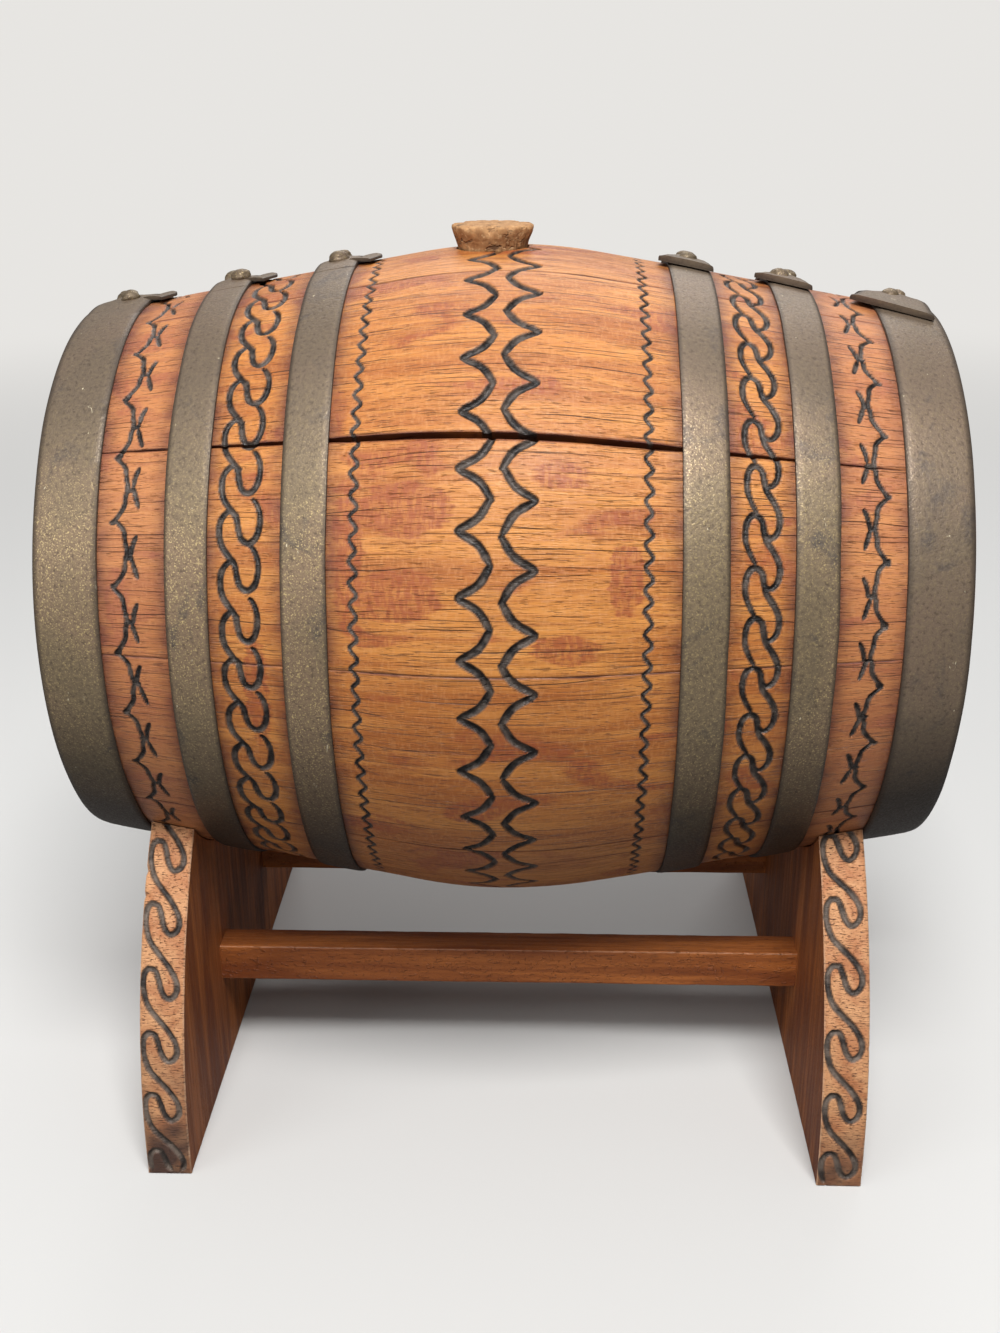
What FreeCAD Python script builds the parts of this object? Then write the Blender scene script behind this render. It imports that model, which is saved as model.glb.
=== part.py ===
import FreeCAD, Part
import math
import os
import re
import Sketcher

# A small coopered keg of about three litres on a two-board rack. Ten staves, two three-board
# heads, six lapped and riveted hoops, a cork bung, and a turned tap in the right head.
# The driving sizes follow, in millimetres and degrees.
SIZES = (
    ("axis_height", 145.3),
    ("bilge_radius", 92),
    ("belly_curve_radius", 145),
    ("stave_taper", 10),
    ("stave_length", 229),
    ("stave_thickness", 9),
    ("stave_count", 10),
    ("first_joint_angle", 38),
    ("open_joint_width", 1.3),
    ("open_joint_length", 196),
    ("chime_bevel", 3.5),
    ("chime_length", 5.5),
    ("croze_from_end", 11),
    ("croze_width", 3.4),
    ("croze_depth", 3),
    ("head_thickness", 8),
    ("head_board_width", 46),
    ("head_play", 0.1),
    ("dowel_radius", 1.5),
    ("dowel_length", 16),
    ("dowel_height", 30),
    ("hoop_thickness", 0.8),
    ("hoop_play", 0.05),
    ("hoop_overhang", 0.5),
    ("end_hoop_width", 17),
    ("mid_hoop_width", 11),
    ("inner_hoop_width", 11.4),
    ("mid_hoop_station", 75.5),
    ("left_inner_hoop_station", 46.4),
    ("right_inner_hoop_station", 48.7),
    ("lap_span", 22),
    ("left_lap_angle", 94),
    ("right_lap_angle", 97),
    ("rivet_angle", 95),
    ("rivet_spread_angle", 6),
    ("rivet_stagger", 3.6),
    ("rivet_head_radius", 2.4),
    ("rivet_head_height", 1.7),
    ("rivet_shank_radius", 0.9),
    ("rivet_play", 0.04),
    ("bung_station", -4.1),
    ("bung_top_radius", 11.1),
    ("bung_neck_radius", 10.1),
    ("bung_foot_radius", 8.6),
    ("bung_stand", 5.8),
    ("bung_depth", 20),
    ("bung_play", 0.1),
    ("tap_rim_distance", 13.1),
    ("tap_shank_radius", 5.6),
    ("tap_tip_radius", 4.6),
    ("tap_inside", 3),
    ("tap_collar_radius", 8),
    ("tap_collar_width", 1.8),
    ("tap_cove_width", 1.5),
    ("tap_cove_depth", 1),
    ("tap_boss_radius", 7.6),
    ("tap_boss_length", 8.4),
    ("tap_boss_swell", 0.5),
    ("tap_neck_radius", 4.4),
    ("tap_neck_length", 1.5),
    ("tap_nose_radius", 5.6),
    ("tap_nose_height", 3.6),
    ("tap_projection", 26.5),
    ("tap_bore_radius", 1.6),
    ("outlet_setback", 5),
    ("key_setout", 9),
    ("key_top_radius", 3.9),
    ("key_foot_radius", 3.1),
    ("key_foot_length", 9.5),
    ("key_play", 0.08),
    ("key_neck_height", 9.5),
    ("key_bar_length", 15),
    ("key_bar_width", 4.4),
    ("key_bar_height", 8.5),
    ("key_bar_rounding", 1.6),
    ("key_collar_overhang", 1.2),
    ("key_collar_height", 1.6),
    ("board_spacing", 170.6),
    ("board_thickness", 12),
    ("board_foot_width", 180),
    ("board_foot_height", 5.3),
    ("board_edge_radius", 115.6),
    ("board_top_drop", 48),
    ("cradle_clearance", 0.3),
    ("stretcher_width", 10),
    ("stretcher_height", 11.5),
    ("stretcher_spacing", 67),
    ("stretcher_rise", 34.3),
    ("housing_depth", 4),
    ("nail_radius", 1),
    ("nail_length", 26),
)

NAMES = {name for name, _ in SIZES}

doc = FreeCAD.newDocument("cask_dispenser")
sheet = doc.addObject("Spreadsheet::Sheet", "Sizes")
for row, (name, number) in enumerate(SIZES, 1):
    sheet.set(f"A{row}", name)
    sheet.set(f"B{row}", str(number))
    sheet.setAlias(f"B{row}", name)
doc.recompute()


def bound(text):
    """Point every size named in a written length at its cell in the sheet."""
    return re.sub(r"[a-z_]+", lambda m: f"Sizes.{m[0]}" if m[0] in NAMES else m[0], str(text))


def value(text):
    return float(sheet.evalExpression(bound(text)))


# Written lengths of the cask, measured from its middle: x along the axis, r out from it.
STAVE_END = "(stave_length / 2)"
CURVE_END = "(belly_curve_radius * sin(stave_taper))"
CURVE_END_RADIUS = "(bilge_radius - belly_curve_radius * (1 - cos(stave_taper)))"
INNER_CURVE_END = "((belly_curve_radius - stave_thickness) * sin(stave_taper))"
INNER_CURVE_RADIUS = f"({CURVE_END_RADIUS} - stave_thickness * cos(stave_taper))"
HOOP_END = f"({STAVE_END} + hoop_overhang)"
CROZE = f"({STAVE_END} - croze_from_end)"
HEAD_INSIDE = f"({CROZE} - head_thickness / 2)"
HEAD_OUTSIDE = f"({CROZE} + head_thickness / 2)"
TAP_TIP = f"({HEAD_OUTSIDE} + tap_projection)"
TAP_OUTLET = f"({TAP_TIP} - outlet_setback)"
KEY_STATION = f"({HEAD_OUTSIDE} + key_setout)"
BOARD_INSIDE = "(board_spacing / 2)"
BOARD_OUTSIDE = f"({BOARD_INSIDE} + board_thickness)"
# The tap's axis lies this far under the cask's.
TAP_DROP = ("(bilge_radius - belly_curve_radius * (1 - cos(stave_taper)) - stave_thickness / cos(stave_taper)"
            f" - ({HEAD_OUTSIDE} - {CURVE_END}) * tan(stave_taper) - tap_rim_distance)")
# The frame's origin is on the floor under the middle of the whole length, tap included.
MIDDLE = f"(({HOOP_END} - {TAP_TIP}) / 2)"


def outer_radius(x):
    return f"({CURVE_END_RADIUS} - (({x}) - {CURVE_END}) * tan(stave_taper))"


def inner_radius(x):
    return f"({outer_radius(x)} - stave_thickness / cos(stave_taper))"


def dome(radius, height):
    """Half way up a cap of a ball: how far out from its middle, and how far above its rim."""
    ball = f"(({radius} ^ 2 + {height} ^ 2) / (2 * {height}))"
    half = f"(asin({radius} / {ball}) / 2)"
    return f"({ball} * sin({half}))", f"({height} - {ball} * (1 - cos({half})))"


# Building blocks

def plane(body, role):
    return next(item for item in body.Origin.OriginFeatures if item.Role == role)


def new_sketch(body, role="XZ_Plane"):
    sketch = body.newObject("Sketcher::SketchObject", body.Name + "_sketch")
    sketch.AttachmentSupport = [(plane(body, role), "")]
    sketch.MapMode = "FlatFace"
    return sketch


def locate(sketch, geometry, position, point):
    """Tie one point of a sketch to its two written distances from the sketch's origin."""
    for kind, axis, text in zip(("DistanceX", "DistanceY"), (-2, -1), point):
        if text == "0":
            sketch.addConstraint(Sketcher.Constraint("PointOnObject", geometry, position, axis))
            continue
        index = sketch.addConstraint(Sketcher.Constraint(kind, -1, 1, geometry, position, value(text)))
        sketch.setExpression(f"Constraints[{index}]", bound(text))


def arc_through(start, middle, end):
    """An arc through three points, counted the one way round that a sketch keeps."""
    circle = Part.Arc(start, middle, end).toShape().Curve
    centre = circle.Center
    first, passing, last = (math.atan2(p.y - centre.y, p.x - centre.x) for p in (start, middle, end))
    if (passing - first) % math.tau > (last - first) % math.tau:
        first, last = last, first
    whole = Part.Circle(centre, FreeCAD.Vector(0, 0, 1), circle.Radius)
    return Part.ArcOfCircle(whole, first, first + (last - first) % math.tau)


def draw(sketch, corners, bends=None):
    """Draw a closed outline. bends gives, for a corner's next run, the point that its arc passes."""
    bends = bends or {}
    spots = [FreeCAD.Vector(value(x), value(y), 0) for x, y in corners]
    runs = []
    for index, start in enumerate(spots):
        end = spots[(index + 1) % len(spots)]
        if index in bends:
            middle = FreeCAD.Vector(*(value(text) for text in bends[index]), 0)
            run = sketch.addGeometry(arc_through(start, middle, end), False)
        else:
            run = sketch.addGeometry(Part.LineSegment(start, end), False)
        shape = sketch.Geometry[run]
        forward = (shape.StartPoint - start).Length < (shape.EndPoint - start).Length
        runs.append((run, 1, 2) if forward else (run, 2, 1))
    for index, (run, first, last) in enumerate(runs):
        following, entry, _ = runs[(index + 1) % len(runs)]
        sketch.addConstraint(Sketcher.Constraint("Coincident", run, last, following, entry))
        locate(sketch, run, first, corners[index])
    for index, point in bends.items():
        mark = sketch.addGeometry(Part.Point(FreeCAD.Vector(*(value(text) for text in point), 0)), True)
        locate(sketch, mark, 1, point)
        sketch.addConstraint(Sketcher.Constraint("PointOnObject", mark, 1, runs[index][0]))


def revolve(name, corners, bends=None, sweep="360", axis="H_Axis"):
    """Turn an outline about the sketch's axis, half of the sweep to each side."""
    body = doc.addObject("PartDesign::Body", name)
    sketch = new_sketch(body)
    draw(sketch, corners, bends)
    turned = body.newObject("PartDesign::Revolution", name + "_turned")
    turned.Profile = sketch
    turned.ReferenceAxis = (sketch, [axis])
    turned.Midplane = True
    turned.setExpression("Angle", bound(sweep))
    return body


def pad(name, corners, bends, length):
    """Push an outline drawn across the cask out along it, half to each side."""
    body = doc.addObject("PartDesign::Body", name)
    sketch = new_sketch(body, "YZ_Plane")
    draw(sketch, corners, bends)
    block = body.newObject("PartDesign::Pad", name + "_block")
    block.Profile = sketch
    block.Midplane = True
    block.setExpression("Length", bound(length))
    return body


def place(item, x="0", y="0", z="0", turn="0", axis=(1, 0, 0), then=None):
    """Bind an object's Placement. then is a second (x, y, z, turn, axis) inside the first."""
    parts = []
    for px, py, pz, angle, line in [(x, y, z, turn, axis)] + ([then] if then else []):
        spot = f"vector(({px}); ({py}); ({pz}))"
        parts.append(f"placement({spot}; rotation(vector({line[0]}; {line[1]}; {line[2]}); ({angle})))")
    item.setExpression("Placement", bound(" * ".join(parts)))
    return item


def solid(kind, name, **sizes):
    item = doc.addObject("Part::" + kind, name)
    for key, text in sizes.items():
        item.setExpression(key, bound(text))
    return item


def cut(name, base, *tools):
    for index, tool in enumerate(tools):
        item = doc.addObject("Part::Cut", name if index == len(tools) - 1 else f"{name}_cut_{index}")
        item.Base = base
        item.Tool = tool
        base = item
    return base


def join(name, base, tool):
    item = doc.addObject("Part::Fuse", name)
    item.Base = base
    item.Tool = tool
    return item


def group(name, items):
    item = doc.addObject("Part::Compound", name)
    item.Links = items
    return item


nodes = {}


def keep(name, item, turn="0"):
    """Name a finished sub-part and set it in the frame, with the cask's axis at its height."""
    item.Label = name
    place(item, MIDDLE, "0", "axis_height", turn)
    nodes[name] = item


# Staves: one curved section, turned through one stave's share of the circle

def stave_outline():
    croze_near = f"({CROZE} + croze_width / 2)"
    croze_far = f"({CROZE} - croze_width / 2)"
    chime = f"({STAVE_END} - chime_length)"
    right = [
        (CURVE_END, CURVE_END_RADIUS),
        (STAVE_END, outer_radius(STAVE_END)),
        (STAVE_END, f"({inner_radius(STAVE_END)} + chime_bevel)"),
        (chime, inner_radius(chime)),
        (croze_near, inner_radius(croze_near)),
        (croze_near, f"({inner_radius(CROZE)} + croze_depth)"),
        (croze_far, f"({inner_radius(CROZE)} + croze_depth)"),
        (croze_far, inner_radius(croze_far)),
        (INNER_CURVE_END, INNER_CURVE_RADIUS),
    ]
    left = [(f"-{x}", r) for x, r in reversed(right)]
    bends = {
        len(right) - 1: ("0", "(bilge_radius - stave_thickness)"),
        2 * len(right) - 1: ("0", "bilge_radius"),
    }
    return right + left, bends


def bung_radius(depth, play):
    """The shank's radius at a depth below the bilge."""
    return f"(bung_neck_radius - (bung_neck_radius - bung_foot_radius) * ({depth}) / bung_depth + {play})"


def make_staves():
    """The first joint has dried open: the two staves that meet there are hollowed along it."""
    corners, bends = stave_outline()
    gap = open_joint()
    last = round(value("stave_count")) - 1
    for index in range(last + 1):
        name = f"stave_{index + 1:02d}"
        blank = revolve(name + "_blank", corners, bends, "360 / stave_count")
        middle = f"(90 - first_joint_angle - 360 / stave_count * ({index} + 0.5))"
        if index == bung_stave():
            place(blank, turn=middle)
            keep(name, cut(name, blank, bung_hole()))
        elif index in (0, last):
            place(blank, turn=middle)
            keep(name, cut(name, blank, gap))
        else:
            keep(name, blank, middle)


def open_joint():
    """A lens as long as the gap between two staves, standing out from the cask's axis."""
    body = doc.addObject("PartDesign::Body", "open_joint")
    sketch = new_sketch(body, "XY_Plane")
    tips = [("(-open_joint_length / 2)", "0"), ("(open_joint_length / 2)", "0")]
    draw(sketch, tips, {0: ("0", "(-open_joint_width / 2)"), 1: ("0", "(open_joint_width / 2)")})
    block = body.newObject("PartDesign::Pad", "open_joint_block")
    block.Profile = sketch
    block.setExpression("Length", bound("(2 * bilge_radius)"))
    return place(body, turn="(90 - first_joint_angle)")


def bung_stave():
    """The stave that the top of the bilge falls on."""
    return int((90 - value("first_joint_angle")) // (360 / value("stave_count")))


def bung_hole():
    above = "1"
    through = "(stave_thickness + 2)"
    hole = solid("Cone", "bung_hole", Height=f"({through} + {above})",
                 Radius1=bung_radius(through, "bung_play"), Radius2=bung_radius(f"-{above}", "bung_play"))
    return place(hole, "bung_station", "0", f"(bilge_radius - {through})")


# Heads: a disc with a tongue for the croze, in three boards joined by dowels

def head_disc(name):
    tongue = "(croze_width / 2 - head_play)"
    rim = f"({inner_radius(CROZE)} + croze_depth - head_play)"
    shy = "(head_play + 0.2)"
    inside = f"({inner_radius(HEAD_INSIDE)} - {shy} - 1)"
    outside = f"({inner_radius(HEAD_OUTSIDE)} - {shy} - 1)"
    near = f"({CROZE} + {tongue})"
    far = f"({CROZE} - {tongue})"
    corners = [
        (HEAD_INSIDE, "0"),
        (HEAD_INSIDE, inside),
        (far, f"({inner_radius(far)} - {shy})"),
        (far, rim),
        (near, rim),
        (near, f"({inner_radius(near)} - {shy})"),
        (HEAD_OUTSIDE, outside),
        (HEAD_OUTSIDE, "0"),
    ]
    return revolve(name, corners)


def head_dowels(side):
    """Two dowels over each joint of a head, through the middle of its thickness."""
    pegs = []
    for edge in (-1, 1):
        for rise in (-1, 1):
            peg = solid("Cylinder", f"peg_{side}_{edge + 1}_{rise + 1}", Radius="dowel_radius", Height="dowel_length")
            place(peg, CROZE, f"({edge} * head_board_width / 2 + dowel_length / 2)", f"({rise} * dowel_height)",
                  "90")
            pegs.append(peg)
    return pegs


def make_head(side, fittings):
    """Heads are drawn at the right end. The left one is the same head turned half round."""
    disc = head_disc(f"head_disc_{side}")
    dowels = head_dowels(side)
    pegs = group(f"head_{side}_dowel_holes", dowels)
    turn = ("0", "0", "0", "180", (0, 0, 1)) if side == "left" else None
    order = ("back", "middle", "front") if side == "left" else ("front", "middle", "back")
    for index, board in enumerate(order):
        span = "head_board_width" if board == "middle" else "bilge_radius"
        start = ("-(head_board_width / 2 + bilge_radius)", "-head_board_width / 2", "head_board_width / 2")[index]
        slab = solid("Box", f"slab_{side}_{board}", Length="head_thickness", Width=span, Height="2 * bilge_radius")
        place(slab, HEAD_INSIDE, f"({start})", "-bilge_radius")
        piece = doc.addObject("Part::Common", f"piece_{side}_{board}")
        piece.Base = disc
        piece.Tool = slab
        tools = [pegs] + (fittings if board == "middle" else [])
        name = f"head_{side}_{board}"
        keep_turned(name, cut(name, piece, *tools), turn)
    keep_turned(f"head_{side}_dowels", group(f"head_{side}_dowels", dowels), turn)


def keep_turned(name, item, turn):
    keep(name, item)
    if turn:
        place(item, MIDDLE, "0", "axis_height", then=turn)


# Hoops: a tapered band, lapped over itself at the top and riveted through both thicknesses

def band(name, near, far, lift, sweep):
    """A strip that follows the taper between two stations, lifted off the staves."""
    corners = []
    for x, skin in ((near, "0"), (near, "hoop_thickness"), (far, "hoop_thickness"), (far, "0")):
        corners.append((x, f"({outer_radius(x)} + {lift} + {skin})"))
    return revolve(name, corners, sweep=sweep)


def rivet(name, station, angle):
    """A domed rivet through the lap, square to the tapered band."""
    seat = f"({outer_radius(station)} + hoop_play + 2 * hoop_thickness / cos(stave_taper) + rivet_play)"
    foot = "(-2 * hoop_thickness)"
    corners = [
        ("0", foot),
        ("rivet_shank_radius", foot),
        ("rivet_shank_radius", "0"),
        ("rivet_head_radius", "0"),
        dome("rivet_head_radius", "rivet_head_height"),
        ("0", "rivet_head_height"),
    ]
    stud = revolve(name, corners, axis="V_Axis")
    return place(stud, turn=f"(90 - ({angle}))", then=(station, "0", seat, "stave_taper", (0, 1, 0)))


def make_hoop(side, kind, station, width, stagger):
    """Hoops are drawn at the right end. A left one is turned half round about the upright."""
    name = f"hoop_{side}_{kind}"
    near = f"({station} - {width} / 2)"
    far = f"({station} + {width} / 2)"
    ring = band(name + "_ring", near, far, "hoop_play", "360")
    lap = band(name + "_lap", near, far, "(hoop_play + hoop_thickness)", "lap_span")
    facing = 1 if side == "right" else -1
    place(lap, turn=f"({facing} * (90 - {side}_lap_angle))")
    studs = []
    for index, step in enumerate((-1, 1)):
        spot = f"({station} + {step} * {stagger} / 2)"
        angle = f"(90 + {facing} * (rivet_angle - 90 + {step} * rivet_spread_angle / 2))"
        studs.append(rivet(f"{name}_rivet_{index + 1}", spot, angle))
    holes = group(f"{name}_rivet_holes", studs)
    turn = ("0", "0", "0", "180", (0, 0, 1)) if side == "left" else None
    keep_turned(name, cut(name, join(name + "_strip", ring, lap), holes), turn)
    keep_turned(f"rivets_{side}_{kind}", group(f"rivets_{side}_{kind}", studs), turn)


def make_hoops():
    end_station = f"({HOOP_END} - end_hoop_width / 2)"
    for side in ("left", "right"):
        make_hoop(side, "end", end_station, "end_hoop_width", "rivet_stagger")
        make_hoop(side, "mid", "mid_hoop_station", "mid_hoop_width", "rivet_stagger")
        make_hoop(side, "inner", f"{side}_inner_hoop_station", "inner_hoop_width", "0")


# Bung: a tapered cork that flares above the stave

def make_bung():
    foot = "(bilge_radius - bung_depth)"
    top = "(bilge_radius + bung_stand)"
    edge = 0.6
    corners = [
        ("0", foot),
        ("bung_foot_radius", foot),
        ("bung_neck_radius", "bilge_radius"),
        ("bung_top_radius", f"({top} - {edge})"),
        (f"(bung_top_radius - {edge})", top),
        ("0", top),
    ]
    cork = revolve("bung_blank", corners, axis="V_Axis")
    place(cork, "bung_station")
    keep("bung", group("bung", [cork]))


# Tap: a turned body driven into the lower part of the right head, with a tapered key

def tap_corners():
    at = lambda offset: f"({HEAD_OUTSIDE} + {offset})"
    neck = "(key_setout + tap_boss_length / 2 + tap_cove_width + tap_neck_length)"
    out, along = dome("tap_nose_radius", "tap_nose_height")
    return [
        (f"({HEAD_INSIDE} - tap_inside)", "0"),
        (f"({HEAD_INSIDE} - tap_inside)", "tap_tip_radius"),
        (HEAD_OUTSIDE, "tap_shank_radius"),
        (HEAD_OUTSIDE, "tap_collar_radius"),
        (at("tap_collar_width"), "tap_collar_radius"),
        (at("(tap_collar_width + tap_cove_width)"), "(tap_boss_radius - tap_cove_depth)"),
        (at("(key_setout - tap_boss_length / 2)"), "tap_boss_radius"),
        (KEY_STATION, "(tap_boss_radius + tap_boss_swell)"),
        (at("(key_setout + tap_boss_length / 2)"), "tap_boss_radius"),
        (at(f"({neck} - tap_neck_length)"), "tap_neck_radius"),
        (at(neck), "tap_neck_radius"),
        (at(f"({neck} + tap_cove_width)"), "tap_nose_radius"),
        (f"({TAP_TIP} - tap_nose_height)", "tap_nose_radius"),
        (f"({TAP_TIP} - tap_nose_height + {along})", out),
        (TAP_TIP, "0"),
    ]


def tap_blank():
    body = revolve("tap_turned_blank", tap_corners())
    return place(body, "0", "0", f"-{TAP_DROP}")


def key_profile(play):
    """The key's plug as a cone, from under the boss to its shoulder above it."""
    return {
        "Radius1": f"(key_foot_radius + {play})",
        "Radius2": f"(key_top_radius + {play})",
        "Height": "(key_foot_length + key_neck_height)",
    }


def key_cone(name, play):
    cone = solid("Cone", name, **key_profile(play))
    return place(cone, KEY_STATION, "0", f"(-{TAP_DROP} - key_foot_length)")


def make_tap():
    reach = f"({TAP_OUTLET} - {HEAD_INSIDE} + tap_inside + tap_bore_radius)"
    waterway = solid("Cylinder", "waterway", Radius="tap_bore_radius", Height=reach)
    place(waterway, f"({HEAD_INSIDE} - tap_inside)", "0", f"-{TAP_DROP}", "90", (0, 1, 0))
    outlet = solid("Cylinder", "outlet", Radius="tap_bore_radius", Height="2 * tap_nose_radius")
    place(outlet, TAP_OUTLET, "0", f"(-{TAP_DROP} - 2 * tap_nose_radius)")
    keep("tap_body", cut("tap_body", tap_blank(), key_cone("key_socket", "key_play"), waterway, outlet))


def make_key():
    """The key is shut at rest: its port lies across the waterway, and so does its thumb bar."""
    shoulder = f"(-{TAP_DROP} + key_neck_height)"
    collar = solid("Cylinder", "key_collar", Radius="(key_top_radius + key_collar_overhang)",
                   Height="key_collar_height")
    place(collar, KEY_STATION, "0", shoulder)
    bar = solid("Box", "key_bar", Length="key_bar_width", Width="key_bar_length", Height="key_bar_height")
    place(bar, f"({KEY_STATION} - key_bar_width / 2)", "-key_bar_length / 2", f"({shoulder} + key_collar_height / 2)")
    rounded = doc.addObject("Part::Fillet", "key_bar_rounded")
    rounded.Base = bar
    rounding = value("key_bar_rounding")
    rounded.Edges = [(edge, rounding, rounding) for edge in (2, 4, 6, 8, 10, 12)]
    port = solid("Cylinder", "key_port", Radius="tap_bore_radius", Height="4 * key_top_radius")
    place(port, KEY_STATION, "2 * key_top_radius", f"-{TAP_DROP}", "90")
    plug = join("key_plug", join("key_stem", key_cone("key_plug_cone", "0"), collar), rounded)
    keep("tap_key", cut("tap_key", plug, port))


# Rack: two end boards with a cradle for the tapered staves, and two housed stretchers

def board_edge_depth(z):
    """How far forward the board's edge is at a height below the arc's foot."""
    drop = f"(-({z}) - (axis_height - board_foot_height))"
    reach = f"sqrt(board_edge_radius ^ 2 - {drop} ^ 2)"
    return f"(board_foot_width / 2 - board_edge_radius + {reach})"


def board_blank(name):
    top = "(-board_top_drop)"
    shoulder = board_edge_depth(top)
    halfway = "((-board_top_drop - axis_height + board_foot_height) / 2)"
    foot = "(board_foot_width / 2)"
    sole = "(-axis_height)"
    spring = "(board_foot_height - axis_height)"
    corners = [
        (f"-{foot}", sole),
        (foot, sole),
        (foot, spring),
        (shoulder, top),
        (f"-{shoulder}", top),
        (f"-{foot}", spring),
    ]
    bends = {
        2: (board_edge_depth(halfway), halfway),
        4: (f"-{board_edge_depth(halfway)}", halfway),
    }
    return pad(name, corners, bends, "board_thickness")


def cradle(name):
    """The space that the cask takes between the boards' faces, with its clearance."""
    overcut = 2
    near = f"({BOARD_INSIDE} - {overcut})"
    far = f"({BOARD_OUTSIDE} + {overcut})"
    corners = [
        (near, "0"),
        (near, f"({outer_radius(near)} + cradle_clearance)"),
        (far, f"({outer_radius(far)} + cradle_clearance)"),
        (far, "0"),
    ]
    return revolve(name, corners)


def make_stretcher(place_name, sign):
    bar = solid("Box", f"stretcher_{place_name}_blank", Length=f"(2 * ({BOARD_INSIDE} + housing_depth))",
                Width="stretcher_width", Height="stretcher_height")
    return place(bar, f"-({BOARD_INSIDE} + housing_depth)",
                 f"({sign} * stretcher_spacing / 2 - stretcher_width / 2)",
                 "(stretcher_rise - axis_height - stretcher_height / 2)")


def make_nails():
    nails = []
    for end in (-1, 1):
        for sign in (-1, 1):
            nail = solid("Cylinder", f"nail_{end + 1}_{sign + 1}", Radius="nail_radius", Height="nail_length")
            start = f"-{BOARD_OUTSIDE}" if end < 0 else f"({BOARD_OUTSIDE} - nail_length)"
            place(nail, start, f"({sign} * stretcher_spacing / 2)", "(stretcher_rise - axis_height)",
                  "90", (0, 1, 0))
            nails.append(nail)
    return nails


def make_rack():
    nails = make_nails()
    nail_holes = group("nail_holes", nails)
    bars = [make_stretcher("front", -1), make_stretcher("back", 1)]
    for side, sign in (("left", -1), ("right", 1)):
        blank = board_blank(f"board_{side}_blank")
        place(blank, f"({sign} * ({BOARD_INSIDE} + board_thickness / 2))")
        hollow = cradle(f"cradle_{side}")
        if sign < 0:
            place(hollow, turn="180", axis=(0, 0, 1))
        name = f"rack_board_{side}"
        keep(name, cut(name, blank, hollow, nail_holes, *bars))
    for name, bar in zip(("stretcher_front", "stretcher_back"), bars):
        keep(name, cut(name, bar, nail_holes))
    keep("stretcher_nails", group("stretcher_nails", nails))


make_rack()
make_staves()
make_head("left", [])
tap_hole = place(revolve("tap_hole", tap_corners()[:3] + [(HEAD_OUTSIDE, "0")]), "0", "0", f"-{TAP_DROP}")
make_head("right", [tap_hole])
make_hoops()
make_bung()
make_tap()
make_key()
doc.recompute()

for item in doc.Objects:
    if "Invalid" in item.State or "Error" in item.State:
        raise RuntimeError(f"{item.Name} failed: {item.State}")
for name, item in nodes.items():
    if item.Shape.isNull() or not item.Shape.isValid() or not item.Shape.Solids:
        raise RuntimeError(f"{name} has no sound shape")

os.makedirs("parts", exist_ok=True)
for name, item in nodes.items():
    item.Shape.exportStep(f"parts/{name}.step")
print(len(nodes), "sub-parts written")
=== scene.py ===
import math

import bpy
import numpy as np
from mathutils import Matrix, Vector, noise


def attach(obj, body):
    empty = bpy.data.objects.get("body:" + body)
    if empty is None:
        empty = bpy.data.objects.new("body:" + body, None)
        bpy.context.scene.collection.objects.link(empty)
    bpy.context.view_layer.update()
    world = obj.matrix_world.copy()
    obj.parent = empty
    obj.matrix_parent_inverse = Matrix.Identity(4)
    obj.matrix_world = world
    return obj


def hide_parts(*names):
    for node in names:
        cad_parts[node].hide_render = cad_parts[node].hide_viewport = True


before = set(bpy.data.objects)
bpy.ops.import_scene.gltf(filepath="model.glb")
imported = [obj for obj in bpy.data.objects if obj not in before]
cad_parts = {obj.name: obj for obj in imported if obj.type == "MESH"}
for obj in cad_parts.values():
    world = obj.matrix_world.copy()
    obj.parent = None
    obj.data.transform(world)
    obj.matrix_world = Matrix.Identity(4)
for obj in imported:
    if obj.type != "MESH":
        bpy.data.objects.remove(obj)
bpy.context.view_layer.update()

# Sizes of the keg, in millimetres and degrees. Stations run along the keg from its middle, and
# angles run from the front, level with the axis, up over the top.
MM = 0.001
DEGREE = math.radians(1)
AXIS_HEIGHT = 145.3
MIDDLE = -9.5
BILGE_RADIUS = 92.0
BELLY_RADIUS = 145.0
TAPER = math.radians(10)
HALF_LENGTH = 114.5
STAVE_THICKNESS = 9.0
STAVE_SWEEP = 36.0
FIRST_JOINT = 38.0
CHIME_LENGTH = 5.5
CHIME_BEVEL = 3.5
HOOP_THICKNESS = 0.85
HOOP_PLAY = 0.05
CURVE_END = BELLY_RADIUS * math.sin(TAPER)
CURVE_END_RADIUS = BILGE_RADIUS - BELLY_RADIUS * (1 - math.cos(TAPER))
WALL = STAVE_THICKNESS / math.cos(TAPER)

rng = np.random.default_rng(7)


def unit(values):
    """Held between 0 and 1."""
    return np.clip(values, 0, 1)


def fade(distance, reach):
    """1 at no distance, down to 0 at the reach and past it."""
    return unit(1 - distance / reach)


def skin(x):
    """The staves' outer radius at a station."""
    x = np.abs(np.asarray(x, dtype=float))
    arc = BILGE_RADIUS - BELLY_RADIUS + np.sqrt(BELLY_RADIUS ** 2 - np.minimum(x, CURVE_END) ** 2)
    return np.where(x < CURVE_END, arc, CURVE_END_RADIUS - (x - CURVE_END) * math.tan(TAPER))


def lining(x):
    """The staves' inner radius, with the chime's bevel at each end."""
    bevel = unit((np.abs(x) - (HALF_LENGTH - CHIME_LENGTH)) / CHIME_LENGTH) * CHIME_BEVEL
    return skin(x) - WALL + bevel


def around(x, radius, angle):
    """Points in the row frame, in metres, from a station, a radius and an angle."""
    x, radius, angle = np.broadcast_arrays(x, radius, np.radians(angle))
    return np.stack([(x + MIDDLE) * MM, -radius * np.cos(angle) * MM,
                     (AXIS_HEIGHT + radius * np.sin(angle)) * MM], axis=-1)


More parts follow.
